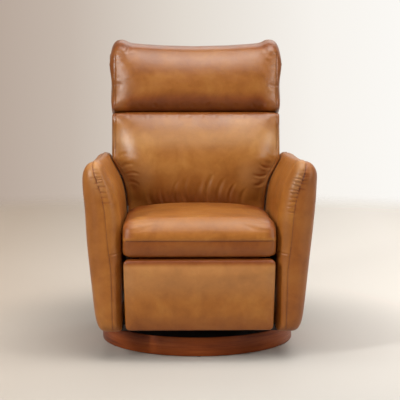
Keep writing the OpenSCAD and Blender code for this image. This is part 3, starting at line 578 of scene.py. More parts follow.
LEATHER = leather("leather_caramel", shine=0.50)
MATTE = leather("leather_caramel_matte", (169, 103, 38), (154, 90, 28), (179, 116, 49), (0.36, 0.46), 0.36)
THREAD = leather("leather_thread", (96, 48, 20), (70, 32, 12), (120, 66, 30), (0.55, 0.7))
HOOP = walnut("walnut_hoop")
BEECH = walnut("frame_beech", (140, 98, 60), (176, 132, 88), (200, 160, 114), False, 0.6)
PLY = ply("plywood_panel")
DECK = metal("black_deck", (16, 15, 15), 0.55, 0.0, scale=200, bump=0.0002)
BLACK = metal("black_steel", (26, 26, 28), 0.42, 0.55, scale=90)
ZINC = metal("zinc_plate", (168, 172, 176), 0.3)
BALL = metal("ball_steel", (205, 208, 212), 0.12)
SPRING = metal("spring_steel", (92, 90, 86), 0.33)
NYLON = metal("nylon_glide", (30, 30, 30), 0.5, 0.0, scale=60)

TIMBER = ("seat_rail", "back_stile", "back_top_rail", "back_mid", "back_bottom")
FINISH = {
    "hoop_wood": (HOOP, ["plinth_hoop"]),
    "black_deck": (DECK, ["base_deck"]),
    "nylon": (NYLON, ["floor_glides", "bearing_cage"]),
    "zinc": (ZINC, ["lower_swivel_plate", "upper_swivel_plate", "spindle_nut", "seat_spring_clips"]),
    "ball_steel": (BALL, ["bearing_balls"]),
    "spring_steel": (SPRING, ["seat_springs", "back_springs"]),
    "plywood": (PLY, ["arm_panel_left", "arm_panel_right", "footrest_board"]),
    "frame_wood": (BEECH, [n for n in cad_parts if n.startswith(TIMBER)]),
}
finished = {n for _, names in FINISH.values() for n in names}
FINISH["black_steel"] = (BLACK, [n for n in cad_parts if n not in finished])


def paint(obj, material):
    obj.data.materials.clear()
    obj.data.materials.append(material)


for material, names in FINISH.values():
    for n in names:
        paint(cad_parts[n], material)


def dress(obj, body, replaces=(), material=LEATHER):
    """Gives a piece its material and body, and hides the solids it stands for."""
    paint(obj, material)
    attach(obj, body)
    if replaces:
        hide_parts(*replaces)
    return obj


def stitch(name, points, radius, body):
    """A dark sewing thread."""
    thread = tube(name, points, radius)
    tone(thread, 1)
    return dress(thread, body, material=THREAD)


# ------------ arms
# The sitter's hand on each side of the chair, by the sign of X
HAND = {1: "left", -1: "right"}
# The section of an arm, as shares of its width and height, from the middle of its foot to its crest
ARM_INNER = [[0.3, 0.0], [0.1, 0.0], [0.02, 0.006], [0, 0.035], [0, 0.18], [0, 0.34], [0.005, 0.58],
             [0.03, 0.7], [0.08, 0.78], [0.165, 0.853], [0.345, 0.93], [0.445, 0.972], [0.54, 0.994],
             [0.65, 1.0]]
ARM_OUTER = [[0.3, 0.0], [0.46, 0], [0.58, 0.018], [0.66, 0.06], [0.71, 0.13], [0.77, 0.27],
             [0.845, 0.44], [0.92, 0.6], [0.985, 0.76], [1, 0.84], [0.96, 0.9], [0.88, 0.953],
             [0.77, 0.988], [0.65, 1.0]]
ARM_SECTION = np.array([0.137, 0.58])
# The seam down the front of an arm, as half width and height
ARM_SEAM = np.array([[0.298, 0.112], [0.303, 0.320], [0.315, 0.421], [0.323, 0.523], [0.337, 0.591],
                     [0.358, 0.652], [0.366, 0.688]])


def build_arm(side):
    n = 270
    inner, outer = (rail(half * ARM_SECTION, n, 2) / ARM_SECTION for half in (ARM_INNER, ARM_OUTER))
    ring = np.concatenate([inner, outer[::-1]])
    keep = np.clip(np.arange(n), int(n * 0.13), n - 1 - int(n * 0.14))
    mid = (0.5 * inner + 0.5 * outer)[keep]
    core = np.concatenate([mid, mid[::-1]])

    def place(y, fill):
        s = core + (ring - core) * fill
        x = arm_inner(y) + arm_width(y) * s[:, 0]
        z = ARM_LOW + (arm_top(y) - ARM_LOW) * s[:, 1]
        return np.stack([side * x, np.full(len(s), y), z], -1)

    rings = []
    for a in np.linspace(0, math.pi / 2, 26, endpoint=False):
        rings.append(place(ARM_FRONT + ARM_END_R * (1 - math.cos(a)), math.sin(a) ** 0.86))
    for y in np.linspace(ARM_FRONT + ARM_END_R, ARM_REAR - ARM_END_R, 110):
        rings.append(place(y, 1))
    for a in np.linspace(math.pi / 2, 0, 20)[1:]:
        rings.append(place(ARM_REAR - ARM_END_R * (1 - math.cos(a)), math.sin(a) ** 0.86))
    obj = from_rings(f"arm_cover_{HAND[side]}", rings)

    # Each arm's own fullness near the crest, and a slacker outer side on the sitter's right
    co = coords(obj)
    X, Y, Z = co.T
    out = smooth((side * X - arm_inner(Y) - 0.55 * arm_width(Y)) / 0.04)
    bulge = (0.013 if side > 0 else 0.008) * bell(Z - arm_top(Y) + 0.03, 0.042)
    bulge -= (0 if side > 0 else 0.006) * bell(Z - 0.53, 0.09)
    X += side * out * bulge
    Z += 0.004 * smooth((Z - 0.55) / 0.1)
    set_coords(obj, co)

    # The seam rises up the front, runs back over the crest and down the rear
    tree = bvh(obj)
    front = resample(ARM_SEAM, 60)
    up = cast(tree, [(side * x, -1, z) for x, z in front], (0, 1, 0))
    ys = np.linspace(ARM_FRONT + 0.03, ARM_REAR - 0.04, 60)
    top = cast(tree, [(side * (arm_inner(y) + 0.70 * arm_width(y)), y, 2) for y in ys], (0, 0, -1))
    share = (front[::-1, 0] - arm_inner(ARM_FRONT)) / arm_width(ARM_FRONT)
    behind = ARM_REAR - ARM_END_R
    rear_x = arm_inner(behind) + share * arm_width(behind)
    rear_z = ARM_LOW + ((front[::-1, 1] - ARM_LOW) * (arm_top(behind) - ARM_LOW)
                        / (arm_top(ARM_FRONT) - ARM_LOW))
    rear = cast(tree, [(side * x, 1, z) for x, z in zip(rear_x, rear_z)], (0, -1, 0))
    line = chaikin(np.concatenate([up, top[1:], rear[1:]]), 1)
    join_z, join_x0, join_x1, join_rise = 0.372, 0.267, 0.309, 0.15
    join = cast(tree, [(side * x, -1, join_z + join_rise * (join_x1 - x))
                       for x in np.linspace(join_x0, join_x1, 16)], (0, 1, 0))

    co = coords(obj)
    X, Y, Z = co.T
    d, s, near = seam_field(co, line)
    inside = np.sign((near - co)[:, 0] * side)
    move = groove(d, 0.0012, 0.0022)
    # A fuller roll beside the seam near the crest
    high = smooth((Z - 0.42) / 0.2)
    move += 0.0035 * bell(d - 0.020, 0.016) * high * (d < 0.06) * np.where(inside > 0, 1.0, 0.5)
    arc_at = lambda z: s[np.argmin(np.abs(Z - z) + 9 * (d > 0.004) + 9 * (Y > -0.3))]
    if side < 0:
        marks = [(z, 1, 0.024, 0.0020)
                 for z in (0.664, 0.653, 0.643, 0.633, 0.620, 0.606, 0.590, 0.572, 0.552)]
        marks += [(z, -1, 0.016, 0.0012) for z in (0.640, 0.622, 0.600)]
    else:
        marks = [(z, 1, 0.030, 0.0024) for z in (0.660, 0.650, 0.640, 0.630, 0.619, 0.608,
                                                 0.596, 0.584, 0.570, 0.555, 0.538, 0.520)]
        marks += [(z, -1, 0.020, 0.0015) for z in (0.651, 0.640, 0.629, 0.616, 0.600)]
    fold_shade = np.zeros(len(co))
    for z, where, reach, depth in marks:
        at = arc_at(z) + rng.normal(0, 0.001)
        slant = rng.normal(0.22, 0.12)
        w = rng.uniform(0.0020, 0.0030)
        reach *= rng.uniform(0.8, 1.35)
        along = s - at + slant * d * where
        fade = unit(1 - d / reach) ** 0.8 * smooth(d / 0.0025) * (inside == where) * (Y < -0.25)
        move += depth * fade * (-bell(along, w) + 0.5 * bell(np.abs(along) - 2 * w, w))
        fold_shade += fade * bell(along, w)
    dj = seam_field(co, join, 0.02)[0]
    move += groove(dj, 0.0010, 0.0024)
    push(obj, move)
    # Painted shade: darker below the front join, in the gathers' folds and on the outer side at the front,
    # mostly on the left arm; the seam lines are darker too.
    below = smooth((join_z - Z) / 0.003) * (inside > 0) * smooth((-0.20 - Y) / 0.05)
    value = 1 - 0.16 * below - 0.15 * bell(dj, 0.002) - 0.4 * unit(fold_shade)
    value -= (0.12 + 0.35 * smooth((Z - 0.48) / 0.1)) * bell(d, 0.0018)
    value -= (0.22 if side > 0 else 0.06) * (inside < 0) * smooth((-0.15 - Y) / 0.1)
    tone(obj, value)
    # A painted highlight, partly pale stretched leather, on the crest beside the seam.
    crest = smooth((Z - 0.555) / 0.07) * smooth((-0.30 - Y) / 0.08)
    crest *= bell(d - (0.016 if side > 0 else 0.006), 0.016)
    within, outside = (0.34, 0.06) if side > 0 else (0.28, 0.28)
    tone(obj, crest * np.where(inside > 0, within, outside), "worn")
    dress(obj, "chassis", [f"arm_{HAND[side]}"], MATTE)
    stitch(obj.name + "_seam", resample(line, 420), 0.0005, "chassis")


for side in HAND:
    build_arm(side)


# ------------ seat
def build_seat():
    n, seam_z, rear_low = 120, 0.4228, 0.089
    # The top and front, as shares of the depth from the rear and of the height above the lip
    pts = [(0.18, 0.840), (0.4, 0.868), (0.62, 0.93), (0.77, 0.98), (0.86, 0.998), (0.92, 0.980),
           (0.956, 0.925), (0.979, 0.835), (0.992, 0.72), (0.998, 0.58), (1.0, 0.47), (0.999, 0.38),
           (0.996, 0.26), (0.989, 0.13), (0.977, 0.03), (0.955, 0.0)]
    top = [(rear_low, CUSHION_LOW), (0.109, mix(SEAT_LIP, SEAT_TOP, 0.78))]
    top += [(mix(rear_low, FRONT, a), mix(SEAT_LIP, SEAT_TOP, b)) for a, b in pts]
    under = [(rear_low, CUSHION_LOW), (-0.20, CUSHION_LOW), (-0.342, CUSHION_LOW), (-0.3425, 0.378),
             (-0.343, SEAT_LIP), (-0.409, SEAT_LIP)]
    fore, aft = rail(top, n), rail(under, n, 2)
    half = lambda y, z: arm_inner(y) - 0.004
    obj = pillow("seat_cover", fore, aft, *both(half), r=0.020, rx=0.036, across=110,
                 spine=[(0.066, 0.424), (-0.30, 0.436), (-0.345, 0.434), (-0.378, 0.424), (-0.379, 0.388)])
    co = coords(obj)
    X, Y, Z = co.T
    # Crown across the top, highest towards the rear
    crown = unit(1 - (X / 0.262) ** 2) ** 0.7
    lift = smooth((Z - 0.43) / 0.03) * smooth((Y + 0.432) / 0.05)
    Z += lift * (mix(0.006, 0.020, smooth((Y + 0.40) / 0.42)) * crown - 0.004)
    belly = smooth((Z - 0.432) / 0.02) * smooth((0.485 - Z) / 0.02) * smooth((-0.38 - Y) / 0.03)
    Y -= belly * 0.002 * crown
    set_coords(obj, co)

    def held(co, no):
        under = smooth((0.2 - no[:, 2]) / 0.3) * smooth((co[:, 1] + 0.408) / 0.01)
        sewn = bell(co[:, 2] - seam_z, 0.005) * (co[:, 1] < -0.35)
        sides = smooth((np.abs(co[:, 0]) - 0.222) / 0.032)
        low = smooth((0.372 - co[:, 2]) / 0.004)
        return unit(np.maximum.reduce([under, sewn, sides, low]))

    swell(obj, held, cap=0.005)
    co, no = coords(obj), normals(obj)
    X, Y, Z = co.T
    tree = bvh(obj)
    xs = np.linspace(-0.250, 0.250, 160)
    seam = cast(tree, [(x, -1, seam_z) for x in xs], (0, 1, 0))
    d = seam_field(co, seam)[0]
    above = Z > seam_z
    move = 0.0016 * smooth(d / 0.0015) * bell(np.maximum(d - 0.006, 0), 0.012) * above
    move -= 0.0008 * bell(d, 0.002)
    marks = []
    for x in rng.uniform(-0.2, 0.2, 7):
        marks.append(((x, 0.365), (x + rng.normal(0, 0.006), 0.385), 0.006, 0.0008))
    move += strokes(co, no, marks)
    push(obj, move)
    # Painted shade: darker below the seam, at the rear corners by the arms, towards the rear and at both ends
    # of the front; the seam line is darker too. The crest is darkened under its highlight and given a painted
    # highlight, partly pale stretched leather.
    low = (Z < 0.4215) & (Y < -0.3)
    corner = smooth((np.abs(X) - 0.13) / 0.07) * smooth((Y + 0.12) / 0.12)
    value = 1 - 0.36 * low - 0.3 * bell(d, 0.0016) - 0.28 * corner - 0.18 * smooth((Y + 0.12) / 0.12)
    crest = bell(Y + 0.402, 0.018) * smooth((Z - 0.45) / 0.01)
    value -= 0.10 * crest + 0.36 * smooth((np.abs(X) - 0.214) / 0.032) * smooth((Z - 0.428) / 0.01)
    tone(obj, 0.22 * crest, "worn")
    tone(obj, value)
    dress(obj, "seat", ["seat_cushion"], MATTE)
    stitch("seat_cover_seam", seam + [0, -0.0004, -0.0012], 0.0006, "seat")


build_seat()


# ------------ back
def back_seams(obj, z0, z1, inset, name):
    """The seam that joins the front panel to the boxing, at both sides."""
    tree = bvh(obj)
    co = coords(obj)
    move, value = np.zeros(len(co)), np.ones(len(co))
    for side in HAND:
        zs = np.linspace(z0, z1, 120)
        line = cast(tree, [(side * (flank(z) - inset), -1, z) for z in zs], (0, 1, 0))
        d, _, near = seam_field(co, line, 0.03)
        move += groove(d, 0.0006, 0.0026)
        outer = (np.abs(co[:, 0]) > np.abs(near[:, 0])) & (d < 1)
        # The seam line is darker, and the boxing beyond it is darker as painted shade.
        value -= 0.04 * bell(d, 0.0024) + 0.12 * outer * smooth(d / 0.002)
        stitch(f"{name}_{HAND[side]}", resample(line, 160), 0.0003, "back")
    return move, value


def back_held(co, no):
    """A back cushion is held at its rear, at its sides and where it meets the next one."""
    x, y, z = co.T
    behind = smooth((no[:, 1] + 0.55) / 0.3)
    deep = smooth((y - face_y(z) - 0.022 * smooth((0.60 - z) / 0.05)) / 0.02)
    aside = smooth((np.abs(x) - flank(z) + 0.012) / 0.01)
    return unit(np.maximum.reduce([behind, deep, aside]))


# Folds: x, lean, upper end and depth; height, reach inwards, rise and depth
LUMBAR_RISING = [
    (-0.115, -0.01, 0.545, 0.0022), (-0.075, 0.004, 0.56, 0.003), (-0.030, -0.006, 0.575, 0.0026),
    (0.012, 0.006, 0.555, 0.0022), (0.048, 0.012, 0.585, 0.0034), (0.085, 0.02, 0.57, 0.003),
    (0.125, 0.02, 0.55, 0.0024), (-0.16, -0.012, 0.53, 0.0018), (0.17, 0.015, 0.53, 0.0018)]
LUMBAR_SIDE = [(0.60, 0.050, 0.020, 0.0026), (0.575, 0.060, 0.006, 0.0024), (0.55, 0.05, -0.012, 0.0018),
               (0.63, 0.04, 0.03, 0.0012)]


def build_lumbar():
    n = 110
    low_z, top = 0.398, up_at(CREASE_Z, 0) - 0.0003
    # The front, as the depth behind the face and the share of the height
    face = np.array([(0.030, 0.0), (0.026, 0.12), (0.016, 0.22), (0.002, 0.34), (-0.012, 0.48),
                     (-0.0195, 0.60), (-0.0205, 0.69), (-0.0185, 0.75), (-0.0150, 0.81), (-0.0100, 0.87),
                     (-0.0045, 0.92), (0.003, 0.96), (0.011, 0.985), (0.021, 1.0)])
    fore = rail(lean(face[:, 0], mix(up_at(low_z, 0), top, face[:, 1])), n)
    aft = rail(lean(np.full(2, CUSHION_T - 0.0005), np.array([up_at(low_z, CUSHION_T), top])), n, 1)
    obj = pillow("lumbar_cover", fore, aft, *both(lambda y, z: flank(z) - 0.001), r=0.042, rx=0.100,
                 behind=0.1, across=150, dome=(0.002, 0.002), ends=(0.25, 0.3))
    co, no = coords(obj), normals(obj)
    X, Z = co[:, 0], co[:, 2]
    u = unit(np.abs(X) / np.maximum(flank(Z), 1e-6))
    face = unit(-no[:, 1])
    v = unit((Z - 0.43) / (CREASE_Z - 0.43))
    belly = (1 - u ** 2.2) * unit(4 * v * (1 - v)) ** 0.7
    move = face * (0.012 * belly - 0.006)
    move -= face * 0.016 * smooth((u - 0.66) / 0.34) * smooth((0.76 - Z) / 0.14) * smooth((Z - 0.425) / 0.06)
    set_coords(obj, co + no * move[:, None])

    def slack(co):
        low = 0.008 * smooth((0.62 - co[:, 2]) / 0.10)
        corner = smooth((0.64 - co[:, 2]) / 0.05) * smooth((np.abs(co[:, 0]) - 0.20) / 0.05)
        return 0.002 + low + 0.003 * corner

    swell(obj, back_held, cap=0.008, slack=slack)
    co, no = coords(obj), normals(obj)
    X, Z = co[:, 0], co[:, 2]
    marks = []
    for x, lean_x, z1, depth in LUMBAR_RISING:
        marks.append(((x, 0.462), (x + lean_x, z1), rng.uniform(0.005, 0.008), depth * 1.15))
    for side in HAND:
        for z, dx, dz, depth in LUMBAR_SIDE:
            x = flank(z) - 0.012
            w, depth = rng.uniform(0.0045, 0.0065), depth * rng.uniform(0.8, 1.1)
            marks.append(((side * x, z), (side * (x - dx), z + dz), w, depth))
    for x in np.linspace(-0.27, 0.27, 12):
        x += rng.normal(0, 0.008)
        marks.append(((x, 0.800), (x + rng.normal(0, 0.008), 0.782), 0.006, 0.0008))
    move = strokes(co, no, marks)
    seam, value = back_seams(obj, 0.47, 0.798, 0.013, "lumbar_seam")
    push(obj, move + seam)
    # Painted shade and light: darker towards the bottom, by the crease at the top and under the top
    # highlight, lighter at the lower sides and darker in the lower middle. Then a painted highlight, partly
    # pale stretched leather, high up and at the lower sides.
    value -= 0.34 * smooth((0.66 - Z) / 0.20) + 0.30 * smooth((Z - 0.785) / 0.024)
    value -= 0.10 * bell(Z - 0.765, 0.035) + 0.17 * smooth((Z - 0.776) / 0.012)
    aside = smooth((np.abs(X) - 0.13) / 0.07)
    value += 0.30 * aside * bell(Z - 0.535, 0.06) - 0.16 * (1 - aside) * smooth((0.54 - Z) / 0.05)
    tone(obj, 0.24 * bell(Z - 0.712, 0.036) + 0.22 * aside * bell(Z - 0.575, 0.05), "worn")
    tone(obj, value)
    dress(obj, "back", ["lumbar_cushion"])


build_lumbar()

# Rise of the headrest's top edge above its middle, by the distance from the middle
EARS = np.array([[0.0, 0.0], [0.12, 0.003], [0.20, 0.008], [0.240, 0.012], [0.250, 0.015], [0.262, 0.024],
                 [0.280, 0.029], [0.298, 0.027], [0.310, 0.017], [0.318, 0.002], [0.330, -0.02]])
# Folds at the headrest's sides: height, reach inwards, rise, width and depth
HEADREST_SIDE = [(1.026, 0.042, -0.014, 0.008, 0.0012), (1.004, 0.050, -0.008, 0.008, 0.0010),
                 (0.975, 0.040, 0.004, 0.008, 0.0008), (0.90, 0.035, 0.010, 0.009, 0.0012),
                 (0.935, 0.03, -0.01, 0.008, 0.0006)]


def build_headrest():
    n = 150
    low, roof = up_at(CREASE_Z, 0) + 0.0003, up_at(ROOF_Z, 0)
    # The front, then the roll over the top, as shares of the depth and height above the roof
    face = np.array([(0.026, 0), (0.012, 0.035), (0.002, 0.10), (-0.006, 0.20), (-0.011, 0.34),
                     (-0.015, 0.48), (-0.018, 0.64), (-0.021, 0.8), (-0.021, 0.93)])
    roll = [(-0.05, 0.34), (0.02, 0.66), (0.15, 0.89), (0.34, 0.985), (0.5, 1), (0.65, 0.99),
            (0.83, 0.85), (0.95, 0.55), (1, 0.2), (1, 0)]
    y0, y1, z1 = face_y(ROOF_Z), rear_y(ROOF_Z), BACK_TOP + 0.020
    fore = np.concatenate([lean(face[:, 0], mix(low, roof, face[:, 1])),
                           [(mix(y0, y1, a), mix(ROOF_Z, z1, b)) for a, b in roll]])
    aft = np.concatenate([[lean(CUSHION_T - 0.0005, low)],
                          [(frame_y(ROOF_Z) - 0.0005, ROOF_Z - 0.03), (frame_y(ROOF_Z) + 0.004, ROOF_Z),
                           (y1 - 0.006, ROOF_Z), (y1, ROOF_Z)]])
    half = lambda y, z: (0.3155 + 0.009 * bell(z - 1.010, 0.045) + 0.002 * bell(z - 0.85, 0.03)
                         - 0.0015 * bell(z - 0.915, 0.02))
    obj = pillow("headrest_cover", rail(fore, n, 2), rail(aft, n, 1), *both(half),
                 r=0.040, rx=0.095, behind=0.1, across=160, dome=(0.002, 0.002), ends=(0.25, 0.6))
    co = coords(obj)
    X, Y, Z = co.T
    rise = np.interp(np.abs(X), EARS[:, 0], EARS[:, 1]) - 0.020
    c = unit((0.3235 - np.abs(X)) / 0.095)
    upright = unit((Z - 0.96) / np.maximum(np.hypot(Y - 0.32, Z - 0.96), 1e-6))
    rise += 0.85 * 0.040 * (1 - np.sqrt(1 - (1 - c) ** 2)) * mix(1, upright, smooth((Y - 0.33) / 0.05))
    start = mix(0.94, ROOF_Z + 0.003, smooth((Y - 0.33) / 0.05))
    Z += rise * smooth((Z - start) / 0.08)
    set_coords(obj, co)
    co, no = coords(obj), normals(obj)
    X, Z = co[:, 0], co[:, 2]
    face = unit(-no[:, 1])
    u = unit(np.abs(X) / 0.315)
    v = unit((Z - CREASE_Z) / (1.02 - CREASE_Z))
    belly = (1 - u ** 2.2) * unit(4 * v * (1 - v)) ** 0.7
    hollow = bell(Z - 0.895, 0.020) * (1 - u ** 4)
    move = face * (0.005 * belly - 0.003 - 0.0015 * hollow)
    set_coords(obj, co + no * move[:, None])
    swell(obj, back_held, cap=0.005,
          slack=lambda co: 0.002 + 0.008 * smooth((np.abs(co[:, 0]) - 0.21) / 0.08))
    co, no = coords(obj), normals(obj)
    X, Z = co[:, 0], co[:, 2]
    marks = []
    for side in HAND:
        for z, dx, dz, w, depth in HEADREST_SIDE:
            marks.append(((side * 0.308, z), (side * (0.308 - dx), z + dz), w, depth))
        marks.append(((side * 0.252, 1.052), (side * 0.262, 1.024), 0.007, 0.0012 if side > 0 else 0.0020))
    for x in np.linspace(-0.26, 0.26, 11):
        x += rng.normal(0, 0.008)
        marks.append(((x, 0.822), (x + rng.normal(0, 0.008), 0.842), 0.006, 0.0009))
    move = strokes(co, no, marks)
    seam, value = back_seams(obj, 0.828, 1.02, 0.012, "headrest_seam")
    push(obj, move + seam)
    # Painted shade: darker towards the bottom under the roll, except at the ends, darker over the whole
    # headrest, under the top highlight and along the top edge. Then a painted highlight, partly pale
    # stretched leather, at the top.
    value -= 0.54 * smooth((0.900 - Z) / 0.075) * (1 - 0.7 * smooth((np.abs(X) - 0.235) / 0.045))
    value -= 0.17 * smooth((Z - 0.93) / 0.04) + 0.22 * smooth((Z - 1.030) / 0.02)
    value -= 0.16 + 0.07 * bell(Z - 0.92, 0.022)
    tone(obj, 0.12 * smooth((Z - 0.94) / 0.04), "worn")
    tone(obj, value)
    dress(obj, "back", ["headrest_cushion"])


build_headrest()


def build_back_shell():
    zs = np.linspace(BACK_FOOT, ROOF_Z - 0.0005, 120)
    rear = np.stack([rear_y(zs), zs], -1)
    ahead = np.stack([rear_y(zs) - PANEL_T, zs], -1)
    half = lambda y, z: flank(z) - 0.001
    obj = pillow("back_panel_cover", rear, ahead, *both(half), r=0.011, across=90)
    co, no = coords(obj), normals(obj)
    X, Z = co[:, 0], co[:, 2]
    u = np.abs(X) / flank(Z)
    move = unit(no[:, 1]) * 0.006 * (1 - u ** 3)
    move *= smooth((Z - 0.30) / 0.08) * smooth((0.965 - Z) / 0.06)
    tree = bvh(obj)
    low, high = 0.304, 0.958
    value = np.ones(len(co))
    for a, x, z0, z1 in ((0, -0.17, low, high), (2, 0.17, high, low)):
        line = cast(tree, [(x, 2, z) for z in np.linspace(z0, z1, 160)], (0, -1, 0))
        d = seam_field(co, line, 0.03)[0]
        move += groove(d, 0.002, 0.0028)
        value -= 0.3 * bell(d, 0.0022)
        stitch(f"back_panel_seam_{a}", line, 0.0008, "back")
    push(obj, move)
    tone(obj, value)
    dress(obj, "back", ["back_panel"], MATTE)

    zs = np.linspace(0.3665, ROOF_Z - 0.0005, 120)
    ahead = np.stack([frame_y(zs) + 0.0005, zs], -1)
    rear = np.stack([rear_y(zs) - PANEL_T - 0.0005, zs], -1)
    straight = np.array([[0.292, 0.2515], [0.549, 0.2515], [0.6382, 0.3150], [1.1, 0.3150]])
    out = lambda y, z: np.interp(z, straight[:, 0], straight[:, 1]) - 0.001 - 0.005 * smooth((z - 0.56) / 0.1)
    for side, word in HAND.items():
        near = lambda y, z: np.full_like(z, side * 0.2398)
        far = lambda y, z: side * out(y, z)
        a, b = (near, far) if side > 0 else (far, near)
        obj = pillow(f"back_side_cover_{word}", ahead, rear, a, b, r=0.003 if side > 0 else 0.012,
                     r1=0.012 if side > 0 else 0.003, across=14)
        tone(obj, 1)
        dress(obj, "back", [f"back_side_{word}"], MATTE)


build_back_shell()


# ------------ footrest and valance
def build_footrest():
    n = 100
    f, b = FRONT, FRONT + 0.040
    fore = rail([(b - 0.002, FOOT_LOW), (f + 0.016, FOOT_LOW), (f + 0.004, FOOT_LOW + 0.004),
                 (f, FOOT_LOW + 0.016), (f, 0.17), (f, 0.23), (f, 0.30), (f, FOOT_HIGH - 0.016),
                 (f + 0.004, FOOT_HIGH - 0.004), (f + 0.016, FOOT_HIGH), (b - 0.002, FOOT_HIGH)], n)
    aft = rail([(b, FOOT_LOW), (b, FOOT_HIGH)], n, 1)

    def half(y, z):
        w = FOOT_HALF - FOOT_TAPER * (FOOT_HIGH - z) / (FOOT_HIGH - FOOT_LOW)
        rc = 0.008
        t = unit(np.maximum(FOOT_LOW + rc - z, z - FOOT_HIGH + rc) / rc)
        return w - rc * (1 - np.sqrt(np.maximum(0, 1 - t * t)))

    obj = pillow("footrest_cover", fore, aft, *both(half), r=0.010, across=100)
    co, no = coords(obj), normals(obj)
    u, v = np.abs(co[:, 0]) / 0.259, np.abs(co[:, 2] - 0.2325) / 0.1245
    crown = unit(1 - u ** 4) * unit(1 - v ** 2.2)
    push(obj, unit(-no[:, 1]) * (0.009 * crown - 0.002))

    def held(co, no):
        return unit(smooth((no[:, 1] + 0.8) / 0.3) + smooth((co[:, 1] - FRONT - 0.006) / 0.006))

    swell(obj, held, cap=0.004)
    Z = coords(obj)[:, 2]
    # Painted shade darker towards the bottom and a painted shadow along the top edge under the seat; then a
    # painted sheen, partly pale stretched leather, on the upper face.
    tone(obj, 1 - 0.28 * smooth((0.185 - Z) / 0.07) - 0.50 * smooth((Z - 0.331) / 0.018))
    tone(obj, 0.20 * smooth((Z - 0.20) / 0.09) * smooth((0.345 - Z) / 0.015), "worn")
    dress(obj, "footrest", ["footrest_pad"], MATTE)


build_footrest()


def build_valance():
    y1 = ARM_REAR - ARM_END_R + 0.013
    half = float(arm_inner(y1)) - 0.0008
    rear = np.stack([np.full(40, y1), np.linspace(ARM_LOW, 0.264, 40)], -1)
    obj = pillow("valance_cover", rear, rear - [PANEL_T, 0], *both(lambda y, z: np.full_like(z, half)),
                 r=0.009, across=70)
    u = np.abs(coords(obj)[:, 0]) / half
    push(obj, unit(normals(obj)[:, 1]) * 0.004 * (1 - u ** 3))
    tone(obj, 0.95)
    dress(obj, "chassis", ["rear_valance"], MATTE)


build_valance()


def build_dust_board():
    """A thin black board behind the footrest, which closes the view under the seat. It slopes up
    towards the front between the arms, and its foot is fixed under both of them."""
    low, high, thick = np.array([-0.2985, 0.0850]), np.array([-0.3455, 0.1172]), 0.0040
    along = (high - low) / np.linalg.norm(high - low)
    ahead_by = np.array([-along[1], along[0]]) * thick / 2
    middle = low + (high - low) * np.linspace(0, 1, 70)[:, None]

    def half(y, z):
        return mix(0.300, arm_inner(y) - 0.0004, smooth((z - ARM_LOW - 0.0002) / 0.0010))

    obj = pillow("dust_board", middle + ahead_by, middle - ahead_by, *both(half), r=0.0012,
                 across=40, cap=3, edge=4)
    dress(obj, "chassis", material=DECK)


build_dust_board()


# ------------ plinth
def build_hoop():
    r0, r1 = PLINTH_R - PLINTH_WALL, PLINTH_R
    deck_r = PLINTH_R - PLINTH_RIM
    e, foot = 0.0016, GLIDE_H - 0.003
    pts = [(r0, foot), (r1 - e, foot), (r1 - e * 0.3, foot + e * 0.3), (r1, foot + e), (r1, 0.036),
           (r1, PLINTH_TOP - e), (r1 - e * 0.3, PLINTH_TOP - e * 0.3), (r1 - e, PLINTH_TOP),
           (deck_r + e * 0.5, PLINTH_TOP), (deck_r, PLINTH_TOP - e * 0.5), (deck_r, DECK_TOP - DECK_T),
           (r0, DECK_TOP - DECK_T)]
    m, n = len(pts), 256
    a = np.arange(n) * 2 * math.pi / n
    r, z = np.array(pts).T[:, :, None]
    verts = np.stack([r * np.cos(a), r * np.sin(a), np.repeat(z, n, 1)], -1)
    faces = [tuple(f) for f in ring_faces(m, n)]
    faces += [((m - 1) * n + j, (m - 1) * n + (j + 1) % n, (j + 1) % n, j) for j in range(n)]
    obj = new_mesh("plinth_ring", verts.reshape(-1, 3), faces, merge=0)
    obj.data.set_sharp_from_angle(angle=math.radians(35))
    dress(obj, "base", ["plinth_hoop"], HOOP)


build_hoop()

# ------------ studio
SENSOR_MM, FRAME_PX, FOCAL_PX = 36, 400, 1689.0
YAW, PITCH = 0.0212, 0.1402
LENS_AT = (-0.1186, -6.0971, 1.3639)
LENS_AIM = (math.sin(YAW) * math.cos(PITCH), math.cos(YAW) * math.cos(PITCH), -math.sin(PITCH))


def station(name, data, at, aim):
    """Adds a camera or a lamp at a place, turned to look along aim."""
    obj = bpy.data.objects.new(name, data)
    scene.collection.objects.link(obj)
    obj.location = at
    obj.rotation_mode = "QUATERNION"
    obj.rotation_quaternion = Vector(aim).to_track_quat("-Z", "Y")
    return obj


camera = station("camera", bpy.data.cameras.new("camera"), LENS_AT, LENS_AIM)
scene.camera = camera
camera.data.sensor_width = SENSOR_MM
camera.data.lens = FOCAL_PX / FRAME_PX * SENSOR_MM
camera.data.clip_end = 60


